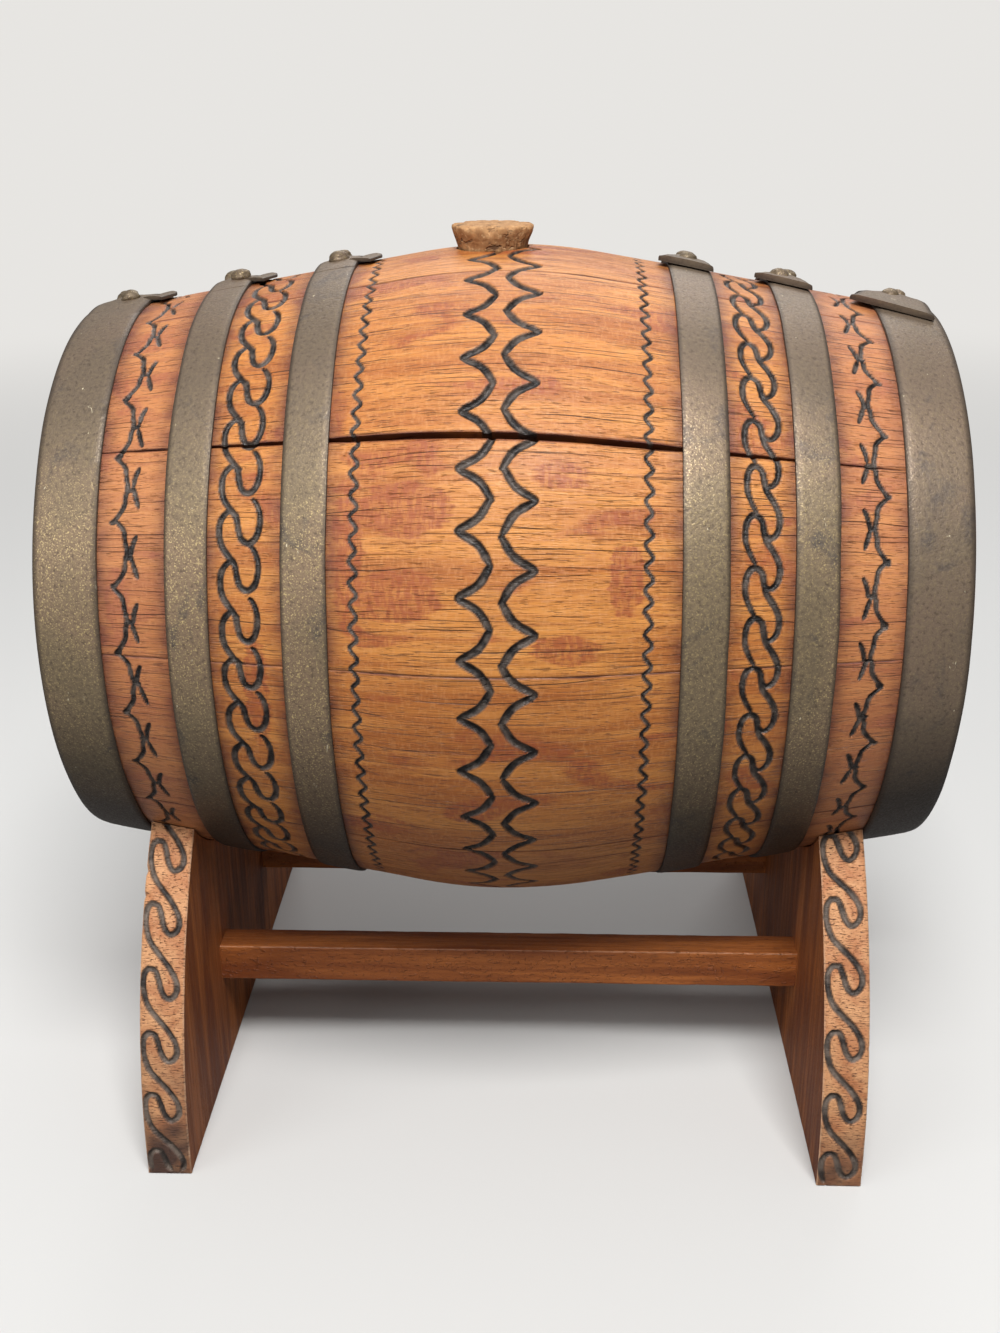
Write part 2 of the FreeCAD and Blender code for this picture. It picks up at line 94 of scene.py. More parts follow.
def wander(points, scale, seed=0.0):
    """Smooth noise from -1 to 1 at each point."""
    flat = np.asarray(points, dtype=float).reshape(-1, 3) * scale
    values = [noise.noise(Vector((p[0] + seed, p[1] - seed, p[2] + 2 * seed))) for p in flat]
    return np.array(values).reshape(np.asarray(points).shape[:-1])


def ripple(values, seed, pitch):
    """Smooth noise along one line, from -1 to 1."""
    values = np.asarray(values, dtype=float)
    heights = [noise.noise(Vector((v / pitch, seed, 0.5 * seed))) for v in values.ravel()]
    return np.array(heights).reshape(values.shape)


def smooth_line(points, steps):
    """A curve through the points, as Catmull and Rom draw it."""
    p = np.asarray(points, dtype=float)
    p = np.vstack([2 * p[0] - p[1], p, 2 * p[-1] - p[-2]])
    runs = []
    for i in range(1, len(p) - 2):
        for t in np.arange(steps) / steps:
            runs.append(0.5 * (2 * p[i] + (p[i + 1] - p[i - 1]) * t
                               + (2 * p[i - 1] - 5 * p[i] + 4 * p[i + 1] - p[i + 2]) * t ** 2
                               + (3 * p[i] - p[i - 1] - 3 * p[i + 1] + p[i + 2]) * t ** 3))
    return np.array(runs + [p[-2]])


def add_object(name, data):
    """A new object, linked to the scene."""
    item = bpy.data.objects.new(name, data)
    bpy.context.scene.collection.objects.link(item)
    return item


def build(name, points, faces, material, body, replaced, data, sharp=40):
    """One mesh object from points and groups of quads or outlines, with named values at its points."""
    mesh = bpy.data.meshes.new(name)
    points = np.asarray(points, dtype=np.float32)
    mesh.vertices.add(len(points))
    mesh.vertices.foreach_set("co", points.ravel())
    counts, corners = [], []
    for group in faces:
        quads = isinstance(group, np.ndarray)
        counts.append(np.full(len(group), 4) if quads else [len(face) for face in group])
        corners.append(group.ravel() if quads else np.concatenate(group))
    counts = np.concatenate(counts).astype(np.int32)
    corners = np.concatenate(corners).astype(np.int32)
    mesh.loops.add(len(corners))
    mesh.loops.foreach_set("vertex_index", corners)
    mesh.polygons.add(len(counts))
    starts = np.concatenate([[0], np.cumsum(counts)[:-1]]).astype(np.int32)
    mesh.polygons.foreach_set("loop_start", starts)
    mesh.polygons.foreach_set("loop_total", counts)
    mesh.update(calc_edges=True)
    mesh.validate()
    for key, values in data.items():
        values = np.asarray(values, dtype=np.float32)
        kind = "FLOAT_VECTOR" if values.ndim == 2 else "FLOAT"
        layer = mesh.attributes.new(key, kind, "POINT")
        layer.data.foreach_set("vector" if values.ndim == 2 else "value", values.ravel())
    mesh.shade_smooth()
    mesh.set_sharp_from_angle(angle=math.radians(sharp))
    mesh.materials.append(material)
    piece = add_object(name, mesh)
    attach(piece, body)
    if replaced:
        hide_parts(*replaced)
    return piece


def grid_faces(rows, columns, start=0, wrap=False, close=False):
    """Quads of a grid counted row by row. wrap joins last row to first, close last column to first."""
    ids = np.arange(rows * columns).reshape(rows, columns) + start
    if close:
        ids = np.hstack([ids, ids[:, :1]])
    if wrap:
        ids = np.vstack([ids, ids[:1]])
    return np.stack([ids[:-1, :-1], ids[:-1, 1:], ids[1:, 1:], ids[1:, :-1]], axis=-1).reshape(-1, 4)


def tube_faces(rows, columns):
    """Faces of a closed tube of rows, each one an outline, with a cap at both ends."""
    caps = [np.arange(columns)[::-1], np.arange(columns) + (rows - 1) * columns]
    return [grid_faces(rows, columns, close=True), caps]


# Materials


class Paint:
    """Writes one material's nodes."""

    def __init__(self, name):
        self.material = bpy.data.materials.new(name)
        self.material.use_nodes = True
        self.tree = self.material.node_tree
        self.shader = self.tree.nodes["Principled BSDF"]

    def node(self, kind, inputs=None, **settings):
        """A node with its settings made and its inputs fed."""
        item = self.tree.nodes.new("ShaderNode" + kind)
        for key, setting in settings.items():
            setattr(item, key, setting)
        for key, source in (inputs or {}).items():
            self.feed(item.inputs[key], source)
        return item

    def feed(self, socket, source):
        """Links a socket to another one's output, or sets its value."""
        if isinstance(source, bpy.types.NodeSocket):
            self.tree.links.new(source, socket)
        else:
            socket.default_value = source

    def value(self, key):
        """A number stored at the points."""
        return self.node("Attribute", attribute_name=key).outputs["Fac"]

    def place(self, key, stretch=1.0):
        """A place stored at the points, or the object's own, stretched along its axes."""
        if key == "object":
            spot = self.node("TexCoord").outputs["Object"]
        else:
            spot = self.node("Attribute", attribute_name=key).outputs["Vector"]
        factors = stretch if isinstance(stretch, tuple) else (stretch,) * 3
        return self.node("VectorMath", {0: spot, 1: factors}, operation="MULTIPLY").outputs[0]

    def noise(self, key, stretch, detail=3.0, rough=0.5, bend=0.0):
        inputs = {"Vector": self.place(key, stretch), "Scale": 1.0, "Detail": detail, "Roughness": rough,
                  "Distortion": bend}
        return self.node("TexNoise", inputs).outputs["Fac"]

    def cells(self, key, stretch):
        inputs = {"Vector": self.place(key, stretch), "Scale": 1.0}
        return self.node("TexVoronoi", inputs).outputs["Distance"]

    def math(self, kind, a, b=0.0, clamp=False):
        return self.node("Math", {0: a, 1: b}, operation=kind, use_clamp=clamp).outputs[0]

    def times(self, a, b):
        return self.math("MULTIPLY", a, b)

    def plus(self, a, b):
        return self.math("ADD", a, b)

    def minus(self, a, b):
        return self.math("SUBTRACT", a, b)

    def band(self, source, low, high, out_low=0.0, out_high=1.0):
        """Maps low..high to out_low..out_high, smoothly and held at both ends."""
        inputs = {"Value": source, "From Min": low, "From Max": high, "To Min": out_low, "To Max": out_high}
        return self.node("MapRange", inputs, interpolation_type="SMOOTHSTEP").outputs[0]

    def mix(self, amount, a, b):
        item = self.node("Mix", data_type="RGBA", blend_type="MIX")
        self.feed(item.inputs[0], amount)
        for socket, source in ((item.inputs[6], a), (item.inputs[7], b)):
            self.feed(socket, (*source, 1.0) if isinstance(source, tuple) and len(source) == 3 else source)
        return item.outputs[2]

    def coats(self, color, *layers):
        """Lays colours over one another. Each layer is how much of it shows, and its colour."""
        for amount, over in layers:
            color = self.mix(amount, color, over)
        return color

    def bump(self, height, distance, strength):
        return self.node("Bump", {"Height": height, "Distance": distance, "Strength": strength}).outputs[0]

    def finish(self, color, rough, normal, **fixed):
        for key, source in (("Base Color", color), ("Roughness", rough), ("Normal", normal)):
            self.feed(self.shader.inputs[key], source)
        for key, number in fixed.items():
            self.shader.inputs[key.replace("_", " ")].default_value = number
        return self.material


def cracks(p, across, rate, bend, swing, holes, kept, width):
    """Fine lines along the grain, rate of them a millimetre, broken where the holes' noise is low."""
    rows = p.times(across, rate)
    rows = p.plus(rows, p.times(p.noise("grain", bend, 2.0), swing))
    gap = p.math("ABSOLUTE", p.minus(p.math("FRACT", rows), 0.5))
    mask = p.band(p.noise("grain", holes, 2.0), *kept)
    return p.times(p.band(gap, *width, 1.0, 0.0), mask)


def stave_wood():
    """Oiled open-pored wood: grain runs along the keg, with ray flecks, checks and burnt grooves."""
    p = Paint("stave_wood")
    broad = p.noise("grain", (0.010, 0.16, 0.1), 3.0, 0.55, 0.4)
    streak = p.noise("grain", (0.02, 0.9, 0.3), 4.0, 0.6, 0.2)
    fine = p.noise("grain", (0.12, 4.2, 1.0), 3.0, 0.6)
    pores = p.band(p.noise("grain", (0.28, 4.6, 1.0), 2.0), 0.60, 0.70)
    across = p.node("SeparateXYZ", {0: p.place("grain")}).outputs[1]
    checks = cracks(p, across, 0.23, (0.011, 0.05, 0.1), 1.5, (0.018, 0.21, 0.1), (0.53, 0.6), (0.01, 0.03))
    hairs = cracks(p, across, 0.85, (0.02, 0.11, 0.1), 2.2, (0.045, 0.42, 0.1), (0.53, 0.62), (0.02, 0.09))
    checks = p.math("MAXIMUM", checks, p.times(hairs, 0.75))
    shimmer = p.noise("grain", (1.3, 0.5, 1.0), 2.0, 0.6)
    patch = p.band(p.noise("grain", (0.032, 0.075, 0.1), 2.0, 0.5, 0.6), 0.56, 0.64)
    ragged = p.noise("grain", (0.07, 0.5, 0.1), 3.0, 0.6)
    blush = p.plus(p.value("blush"), p.times(p.minus(ragged, 0.5), 0.9))
    patch = p.math("MAXIMUM", patch, p.band(blush, 0.42, 0.58))
    fleck = p.noise("grain", (1.1, 0.34, 1.0), 2.0, 0.6)
    red = p.times(patch, p.band(fleck, 0.36, 0.62, 0.45, 1.0))
    blotch = p.noise("grain", (0.11, 0.13, 0.1))
    stain = p.times(p.value("stain"), p.band(blotch, 0.25, 0.62, 0.35, 1.0))
    burn = p.value("burn")
    soot = p.noise("grain", 0.9, 3.0, 0.65)
    groove_pale = p.noise("grain", 0.32, 2.0)
    # Burnt groove colour: near black, with paler patches that are partly a lighter grey floor and partly a
    # painted sheen.
    groove = p.mix(p.band(groove_pale, 0.36, 0.66), (0.014, 0.011, 0.010), (0.092, 0.071, 0.058))

    color = p.coats(
        p.mix(p.band(broad, 0.32, 0.68), (0.44, 0.139, 0.027), (0.66, 0.264, 0.057)),
        (p.band(streak, 0.44, 0.74, 0.0, 0.6), (0.27, 0.072, 0.017)),
        (p.band(streak, 0.44, 0.24, 0.0, 0.55), (0.66, 0.315, 0.10)),
        (p.band(fine, 0.5, 0.72, 0.0, 0.45), (0.20, 0.055, 0.016)),
        (p.band(shimmer, 0.45, 0.7, 0.0, 0.28), (0.70, 0.33, 0.12)),
        (p.times(red, 0.8), (0.33, 0.075, 0.026)),
        (p.times(p.value("tone"), 0.7), (0.30, 0.085, 0.026)),
        (p.times(p.value("rose"), 0.4), (0.46, 0.185, 0.105)),
        (p.times(pores, 0.65), (0.13, 0.036, 0.012)),
        (p.times(checks, 0.9), (0.035, 0.012, 0.007)),
        # Dark stain beside the joints and on the lining; beside the hoops, dirt with painted shade.
        (stain, (0.075, 0.018, 0.018)),
        (p.times(p.value("inside"), 0.75), (0.16, 0.075, 0.032)),
        (burn, groove))
    rough = p.plus(p.band(fine, 0.3, 0.7, 0.36, 0.52), p.times(burn, -0.03))
    height = p.plus(p.times(fine, 0.6), p.times(streak, 0.4))
    height = p.minus(height, p.times(pores, 0.5))
    height = p.minus(height, p.times(checks, 1.6))
    height = p.plus(height, p.times(soot, p.times(burn, 1.4)))
    return p.finish(color, rough, p.bump(height, 0.0003, 0.9), Specular_IOR_Level=0.4, Coat_Weight=0.08,
                    Coat_Roughness=0.3)


def brass():
    """Old brass strip: olive-brown tarnish, painted golden glints and slate-dark blotches; duller toward
    the top, and painted shade toward the bottom.
    """
    p = Paint("hoop_brass")
    cloud = p.noise("object", 22, 4.0, 0.6, 0.5)
    blot = p.noise("object", 55, 4.0, 0.62, 1.2)
    speck = p.noise("object", 2300, 2.0, 0.6)
    coarse = p.noise("object", 1050, 2.0, 0.6)
    # How dull each point is: darker and with fewer painted glints toward the top of each strip.
    dullness = p.value("dullness")
    glint_room = p.math("SUBTRACT", 1.0, dullness, clamp=True)
    # Painted glints: golden highlights put into the colour, fewest where the strip is dulled.
    glint = p.times(p.band(speck, 0.55, 0.70), p.band(cloud, 0.3, 0.62, 0.35, 1.0))
    scuff = p.band(p.noise("object", (420, 420, 160), 3.0, 0.7, 0.6), 0.70, 0.735)
    color = p.coats(
        p.mix(p.band(cloud, 0.36, 0.64), (0.205, 0.152, 0.093), (0.252, 0.172, 0.110)),
        (p.band(blot, 0.55, 0.70, 0.0, 0.75), (0.080, 0.070, 0.066)),
        (p.band(coarse, 0.46, 0.72, 0.0, 0.5), (0.34, 0.255, 0.135)),
        (p.times(glint, glint_room), (0.66, 0.50, 0.235)),
        (p.times(dullness, 0.6), (0.150, 0.112, 0.090)),
        (p.times(scuff, 0.8), (0.82, 0.72, 0.50)),
        (p.band(coarse, 0.45, 0.28, 0.0, 0.6), (0.085, 0.060, 0.042)),
        (p.times(p.value("edge"), 0.75), (0.060, 0.045, 0.035)),
        # Painted shade: darker toward the bottom of each strip.
        (p.times(p.value("shade"), 0.88), (0.026, 0.019, 0.015)))
    height = p.plus(p.times(coarse, 0.6), p.times(speck, 0.25))
    height = p.plus(height, p.times(blot, 0.8))
    rough = p.band(speck, 0.3, 0.75, 0.62, 0.38)
    return p.finish(color, rough, p.bump(height, 0.00022, 0.8), Metallic=0.45)


def cork_skin():
    """Natural cork: light and dark grains, upright streaks, crumbs and pits."""
    p = Paint("cork")
    grain = p.noise("object", 260, 4.0, 0.6, 0.4)
    pits = p.band(p.noise("object", (190, 190, 420), 3.0, 0.7), 0.58, 0.68)
    upright = p.noise("object", (520, 520, 70), 3.0, 0.6)
    crumb = p.noise("object", 900, 2.0)
    color = p.coats(
        p.mix(p.band(grain, 0.3, 0.7), (0.27, 0.118, 0.042), (0.52, 0.280, 0.120)),
        (p.band(p.cells("object", 420), 0.25, 0.6, 0.0, 0.3), (0.26, 0.13, 0.06)),
        (p.band(upright, 0.52, 0.66, 0.0, 0.75), (0.15, 0.058, 0.022)),
        (p.band(crumb, 0.58, 0.68, 0.0, 0.6), (0.72, 0.46, 0.24)),
        (p.times(pits, 0.85), (0.10, 0.045, 0.022)),
        (p.times(p.value("edge"), 0.3), (0.52, 0.30, 0.14)))
    return p.finish(color, 0.82, p.bump(p.minus(grain, pits), 0.0006, 0.9), Specular_IOR_Level=0.3)


def plain_wood(name, light, dark, pore_color, gloss):
    """A plainer board, with its grain along the first axis of its place."""
    p = Paint(name)
    broad = p.noise("grain", (0.012, 0.14, 0.14), 3.0, 0.55, 0.7)
    streak = p.noise("grain", (0.03, 1.0, 1.0), 4.0, 0.6, 0.2)
    pore = p.band(p.noise("grain", (0.22, 4.0, 4.0), 2.0), 0.6, 0.7)
    color = p.coats(p.mix(p.band(broad, 0.3, 0.7), dark, light),
                    (p.band(streak, 0.4, 0.75, 0.0, 0.6), dark), (p.times(pore, 0.6), pore_color))
    height = p.minus(p.times(streak, 0.6), p.times(pore, 0.8))
    return p, color, p.band(streak, 0.3, 0.7, gloss, gloss + 0.16), height


def rack_wood():
    """Board faces of plain oiled wood, and paler cut edges with short checks and burnt grooves."""
    p, plain, rough, _ = plain_wood("rack_wood", (0.53, 0.165, 0.034), (0.215, 0.052, 0.010),
                                    (0.08, 0.018, 0.005), 0.42)
    end, burn = p.value("endgrain"), p.value("burn")
    fibre = p.noise("face", (0.35, 2.6, 1.0), 4.0, 0.65, 0.4)
    blot = p.noise("face", (0.10, 0.09, 0.1), 3.0, 0.6, 0.5)
    nick = p.band(p.noise("face", (0.55, 3.1, 1.0), 2.0, 0.5, 0.3), 0.59, 0.67)
    pit = p.band(p.noise("face", (1.1, 1.9, 1.0), 3.0, 0.7), 0.60, 0.70)
    soot = p.noise("face", 0.8, 3.0, 0.65)
    groove_pale = p.noise("face", 0.22, 2.0)
    groove = p.mix(p.band(groove_pale, 0.36, 0.64), (0.034, 0.025, 0.021), (0.165, 0.125, 0.098))
    cut = p.coats(
        p.mix(p.band(blot, 0.36, 0.64), (0.66, 0.33, 0.150), (0.47, 0.180, 0.070)),
        (p.band(fibre, 0.45, 0.75, 0.0, 0.5), (0.36, 0.14, 0.07)),
        (p.times(nick, 0.85), (0.12, 0.040, 0.022)),
        (p.times(pit, 0.7), (0.17, 0.055, 0.024)))
    color = p.coats(plain, (end, cut), (p.value("stain"), (0.085, 0.040, 0.026)),
                    (p.value("worn"), (0.74, 0.47, 0.30)), (burn, groove))
    height = p.minus(p.times(fibre, 1.1), p.times(nick, 1.4))
    height = p.minus(height, p.times(pit, 1.2))
    height = p.plus(height, p.times(soot, burn))
    return p.finish(color, p.plus(rough, p.times(end, 0.1)), p.bump(height, 0.00028, 0.85))


def stained_wood(name, light, dark, pore_color, gloss, shade):
    """Plain wood that darkens to shade where its piece is stained."""
    p, color, rough, height = plain_wood(name, light, dark, pore_color, gloss)
    color = p.mix(p.value("stain"), color, shade)
    return p.finish(color, rough, p.bump(height, 0.0002, 0.8))


def nail_steel():
    """Steel with spots of rust."""
    p = Paint("nail_steel")
    rust = p.noise("object", 900, 4.0, 0.6)
    color = p.mix(p.band(rust, 0.4, 0.65), (0.20, 0.19, 0.18), (0.14, 0.06, 0.03))
    return p.finish(color, p.band(rust, 0.3, 0.7, 0.4, 0.75), p.bump(rust, 0.0001, 0.6), Metallic=0.7)


WOOD = stave_wood()
BRASS = brass()
CORK = cork_skin()
RACK = rack_wood()
HEAD = stained_wood("head_wood", (0.56, 0.24, 0.085), (0.34, 0.115, 0.038), (0.15, 0.045, 0.015), 0.45,
                    (0.11, 0.04, 0.025))
TAP = stained_wood("tap_wood", (0.74, 0.60, 0.40), (0.60, 0.44, 0.26), (0.36, 0.22, 0.11), 0.48,
                   (0.34, 0.22, 0.12))
STEEL = nail_steel()


# Carving: a stroke is a line of (station, angle) points with a half width at each and one depth. Its tip
# is a share of its length; the groove's and the burn's reach are in half widths.

ZIGZAG_HALF_WIDTH = 1.05
ZIGZAG_DEPTH = 1.0
CHAIN_HALF_WIDTH = 0.82
CHAIN_DEPTH = 0.85
TWIG_HALF_WIDTH = 0.64
TWIG_DEPTH = 0.7
WAVE_HALF_WIDTH = 0.52
WAVE_DEPTH = 0.55
WAVE_AMPLITUDE = 0.86
WAVE_COUNT = 106
# Bands: stations, the angle of the first unit and how many units go round. Zigzags have the stations of
# their tips and of their roots, and twigs end with the side they lean to.
ZIGZAGS = ((-9.4, -1.9, 4.3, 38), (8.7, 0.9, 8.6, 37))
LEFT_CHAIN = (-65.0, 27.1, 44)
RIGHT_CHAIN = (60.4, 27.0, 43)
TWIGS = ((-94.3, 26.5, 30, 1), (92.9, 19.8, 31, -1))
WAVES = ((-34.4, 29.4), (35.1, 32.0))
LOW_ANGLE, HIGH_ANGLE = 24.0, 412.0
STROKE_TIP = 0.22
STROKE_SPREAD = 0.07
GROOVE_REACH = 1.3
BURN_REACH, BURN_FADE = 1.18, 0.3


def stroke(points, half, depth, steps, blunt):
    """A gouge mark: full width along most of its length, and blunt times as wide at both ends."""
    line = smooth_line(points, steps)
    t = np.linspace(0, 1, len(line))
    body = unit(np.minimum(t, 1 - t) / STROKE_TIP)
    spread = rng.uniform(-STROKE_SPREAD, STROKE_SPREAD, len(line))
    widths = half * (blunt + (1 - blunt) * np.sqrt(body)) * (1 + spread)
    return line[:, 0], line[:, 1], widths, depth


def units(first, count):
    """Angles of every unit of a band that repeats count times round the keg."""
    pitch = 360 / count
    start = first + pitch * math.ceil((HIGH_ANGLE - first) / pitch)
    return [start - pitch * k for k in range(int((HIGH_ANGLE - LOW_ANGLE) / pitch) + 2)], pitch


def zigzag_row(tip, root, first, count):
    """Bowed strokes between sharp outer tips and blunt inner ones."""
    marks = []
    angles, pitch = units(first, count)
    for angle in angles:
        out = tip + rng.uniform(-0.3, 0.3)
        inner = root + rng.uniform(-0.25, 0.25)
        jitter = rng.uniform(-0.35, 0.35)
        bow = (inner - out) * 0.13
        for sign in (1, -1):
            a = (out, angle + jitter + sign * 0.12)
            b = (inner, angle + jitter + sign * pitch * 0.49)
            middle = ((a[0] + b[0]) / 2 + bow, (a[1] + b[1]) / 2 - sign * 0.45)
            marks.append(stroke([a, middle, b], ZIGZAG_HALF_WIDTH, ZIGZAG_DEPTH, 7, 0.72))
    return marks


# Shapes of one unit: how far from the band's station, in millimetres, and the share of the pitch.
LEFT_LINK = ((2.4, 0.06), (0.9, -0.03), (0.0, 0.0), (-1.4, 0.15), (-1.9, 0.39), (-1.3, 0.67), (0.3, 0.88),
             (1.9, 1.06), (2.4, 1.29), (3.2, 1.50), (5.0, 1.58), (6.8, 1.45), (7.6, 1.18), (7.4, 0.94),
             (6.5, 0.76), (5.8, 0.70))
RIGHT_LINK = ((0.1, 0.94), (-1.2, 0.74), (-2.2, 0.50), (-2.1, 0.22), (-1.2, 0.05), (0.1, 0.0), (1.6, 0.10),
              (2.1, 0.30), (2.7, 0.50), (4.3, 0.70), (5.6, 0.92), (5.9, 1.12), (5.2, 1.33), (3.6, 1.44),
              (2.3, 1.36))
TWIG_STEM = ((0.0, 0.0), (1.4, 0.07), (2.7, 0.17), (3.1, 0.33), (3.6, 0.48), (3.1, 0.62), (2.9, 0.76),
             (1.3, 0.92), (0.0, 0.99))
TWIG_LEAVES = (((4.9, 0.50), (5.1, 0.40), (5.6, 0.30), (6.2, 0.22)),
               ((4.8, 0.54), (5.5, 0.68), (6.3, 0.83)),
               ((3.2, 0.515), (4.1, 0.53), (5.0, 0.52)),
               ((-0.3, 0.99), (0.3, 1.0), (1.1, 0.95)))


def repeat(shape, station, first, count, half, depth, mirror=1, steps=3):
    """One shape, over and over round the keg, a little uneven from unit to unit."""
    marks = []
    angles, pitch = units(first, count)
    for angle in angles:
        grow = rng.uniform(0.95, 1.05)
        shift = rng.uniform(-0.25, 0.25)
        lift = rng.uniform(-0.035, 0.035) * pitch
        points = [(station + shift + mirror * grow * x, angle + lift - v * pitch) for x, v in shape]
        marks.append(stroke(points, half, depth, steps, 0.6))
    return marks


def wave(station, first):
    """A wavy line of joined strokes, one to each wave."""
    marks = []
    angles, pitch = units(first, WAVE_COUNT)
    for angle in angles:
        sway = rng.uniform(-0.12, 0.12)
        size = WAVE_AMPLITUDE * rng.uniform(0.85, 1.12)
        points = []
        for share in np.linspace(0, 1, 9):
            swing = -math.cos(share * math.tau) + 0.12 * math.sin(2 * share * math.tau)
            points.append((station + sway + size * swing, angle - share * pitch))
        marks.append(stroke(points, WAVE_HALF_WIDTH, WAVE_DEPTH, 2, 0.85))
    return marks


def keg_marks():
    """Every stroke on the keg."""
    marks = []
    for tip, root, first, count in ZIGZAGS:
        marks += zigzag_row(tip, root, first, count)
    marks += repeat(LEFT_LINK, *LEFT_CHAIN, CHAIN_HALF_WIDTH, CHAIN_DEPTH)
    marks += repeat(RIGHT_LINK, *RIGHT_CHAIN, CHAIN_HALF_WIDTH, CHAIN_DEPTH)
    for station, first, count, mirror in TWIGS:
        for shape in (TWIG_STEM, *TWIG_LEAVES):
            marks += repeat(shape, station, first, count, TWIG_HALF_WIDTH, TWIG_DEPTH, mirror, 4)
    for station, first in WAVES:
        marks += wave(station, first)
    return marks


def engrave(columns, rows, marks):
    """How deep each grid point is cut, and how burnt it is."""
    cut = np.zeros((len(rows), len(columns)))
    burn = np.zeros_like(cut)
    for xs, ys, half, depth in marks:
        if ys.max() + 3 < rows[0] or ys.min() - 3 > rows[-1]:
            continue
        for i in range(len(xs) - 1):
            far = max(half[i], half[i + 1]) * GROOVE_REACH
            c0, c1 = np.searchsorted(columns, (min(xs[i], xs[i + 1]) - far, max(xs[i], xs[i + 1]) + far))
            r0, r1 = np.searchsorted(rows, (min(ys[i], ys[i + 1]) - far, max(ys[i], ys[i + 1]) + far))
            if c0 >= c1 or r0 >= r1:
                continue
            dx, dy = xs[i + 1] - xs[i], ys[i + 1] - ys[i]
            px, py = columns[c0:c1] - xs[i], rows[r0:r1][:, None] - ys[i]
            t = unit((px * dx + py * dy) / (dx * dx + dy * dy + 1e-9))
            q = np.hypot(px - t * dx, py - t * dy) / (half[i] + t * (half[i + 1] - half[i]))
            block = cut[r0:r1, c0:c1]
            np.maximum(block, depth * unit(1 - q * q) ** 0.75, out=block)
            block = burn[r0:r1, c0:c1]
            np.maximum(block, unit((BURN_REACH - q) / BURN_FADE), out=block)
    return cut, burn


# Staves

# Stations of the carved bands, where the skin's grid is fine, and of the hoops.
FINE_BANDS = ((-96.5, -86.0), (-68.5, -55.0), (-37.0, -31.8), (-11.5, 11.0), (32.6, 37.6), (56.8, 68.0),
              (86.0, 96.0))
FINE_STEP = 0.34
COARSE_STEP = 1.5
HOOP_STATIONS = ((-115.0, -98.0), (-81.0, -70.0), (-52.1, -40.7), (43.0, 54.4), (70.0, 81.0), (98.0, 115.0))


def stave_columns():
    """Stations of the staves' grid, close together in the carved bands."""
    xs = [-HALF_LENGTH, -HALF_LENGTH + 0.3, -HALF_LENGTH + 0.9]
    while xs[-1] < HALF_LENGTH - 1.2:
        x = xs[-1]
        fine = any(low <= x < high for low, high in FINE_BANDS)
        coming = [low - x for low, _ in FINE_BANDS if low > x]
        step = FINE_STEP if fine else min([COARSE_STEP] + coming)
        xs.append(x + max(step, 0.2))
    return np.array(xs + [HALF_LENGTH - 0.3, HALF_LENGTH])


COLUMNS = stave_columns()
OPEN_WIDTH = 1.35
OPEN_HALF_LENGTH = 99.0
OPEN_TILT = -0.0155
BUNG_STATION = -4.1
BUNG_HOLE_RADIUS = 9.9
BUNG_STAVE, LAST_STAVE = 1, 9
STAVE_TONES = (0.10, 0.22, 0.55, 0.15, 0.40, 0.30, 0.6, 0.30, 0.18, 0.0)
# The skin's unevenness, in millimetres: the swell between hoops, the drops at the joints and the ends,
# and the lips of the open joint with their share of the stave and half length.
SWELL, SWELL_LIMIT = 0.16, 0.3
SEAM_DROP, SEAM_REACH = 0.22, 0.5
END_DROP, END_REACH = 0.35, 0.9
LIP_RISE, LIP_FALL, LIP_SHARE, LIP_HALF_LENGTH = 0.45, 0.3, 0.10, 60
SEAM_STEPS = np.array([0, 0.12, 0.35])
# Redder patches of the wood: station, angle, half length, half sweep in degrees and strength.
BLUSHES = ((-22, 27, 11.5, 4, 1), (-24, 14, 11, 4, 1), (30, 17, 4.5, 6, 0.9), (16, 6, 8.5, 2.5, 0.9),
           (15, 32, 9.5, 3, 0.6), (-36, 21, 4.5, 12, 0.8), (-93, 12, 4, 8.5, 0.7), (-59, -3, 3.5, 11, 0.8))


def joint_angle(index, x):
    """Where a joint runs. The first one leans a little along the keg."""
    return FIRST_JOINT + STAVE_SWEEP * index + (OPEN_TILT * x if index in (0, 10) else 0 * x)


def hoop_dirt_and_shade():
    """How dark the wood is beside each hoop: dirt, and painted shade in the corner along its edge."""
    stain = np.zeros_like(COLUMNS)
    for low, high in HOOP_STATIONS:
        gap = np.maximum(np.maximum(low - COLUMNS, COLUMNS - high), 0)
        stain = np.maximum(stain, fade(gap, 4.5) ** 1.3)
    return stain


def carve(index, theta, marks):
    """How deep each point of a stave's skin is cut, and how burnt it is."""
    cut, burn = np.zeros(theta.shape), np.zeros(theta.shape)
    start = FIRST_JOINT + STAVE_SWEEP * index
    straight = np.linspace(start, start + STAVE_SWEEP, len(theta))
    for low, high in FINE_BANDS:
        c0, c1 = np.searchsorted(COLUMNS, (low - 1, high + 1))
        scale = DEGREE * float(skin((low + high) / 2))
        local = [(xs, ys * scale, half, depth) for xs, ys, half, depth in marks
                 if low - 2 < xs.mean() < high + 2]
        rows = theta[:, (c0 + c1) // 2] if index in (0, LAST_STAVE) else straight
        cut[:, c0:c1], burn[:, c0:c1] = engrave(COLUMNS[c0:c1], rows * scale, local)
    return cut, burn


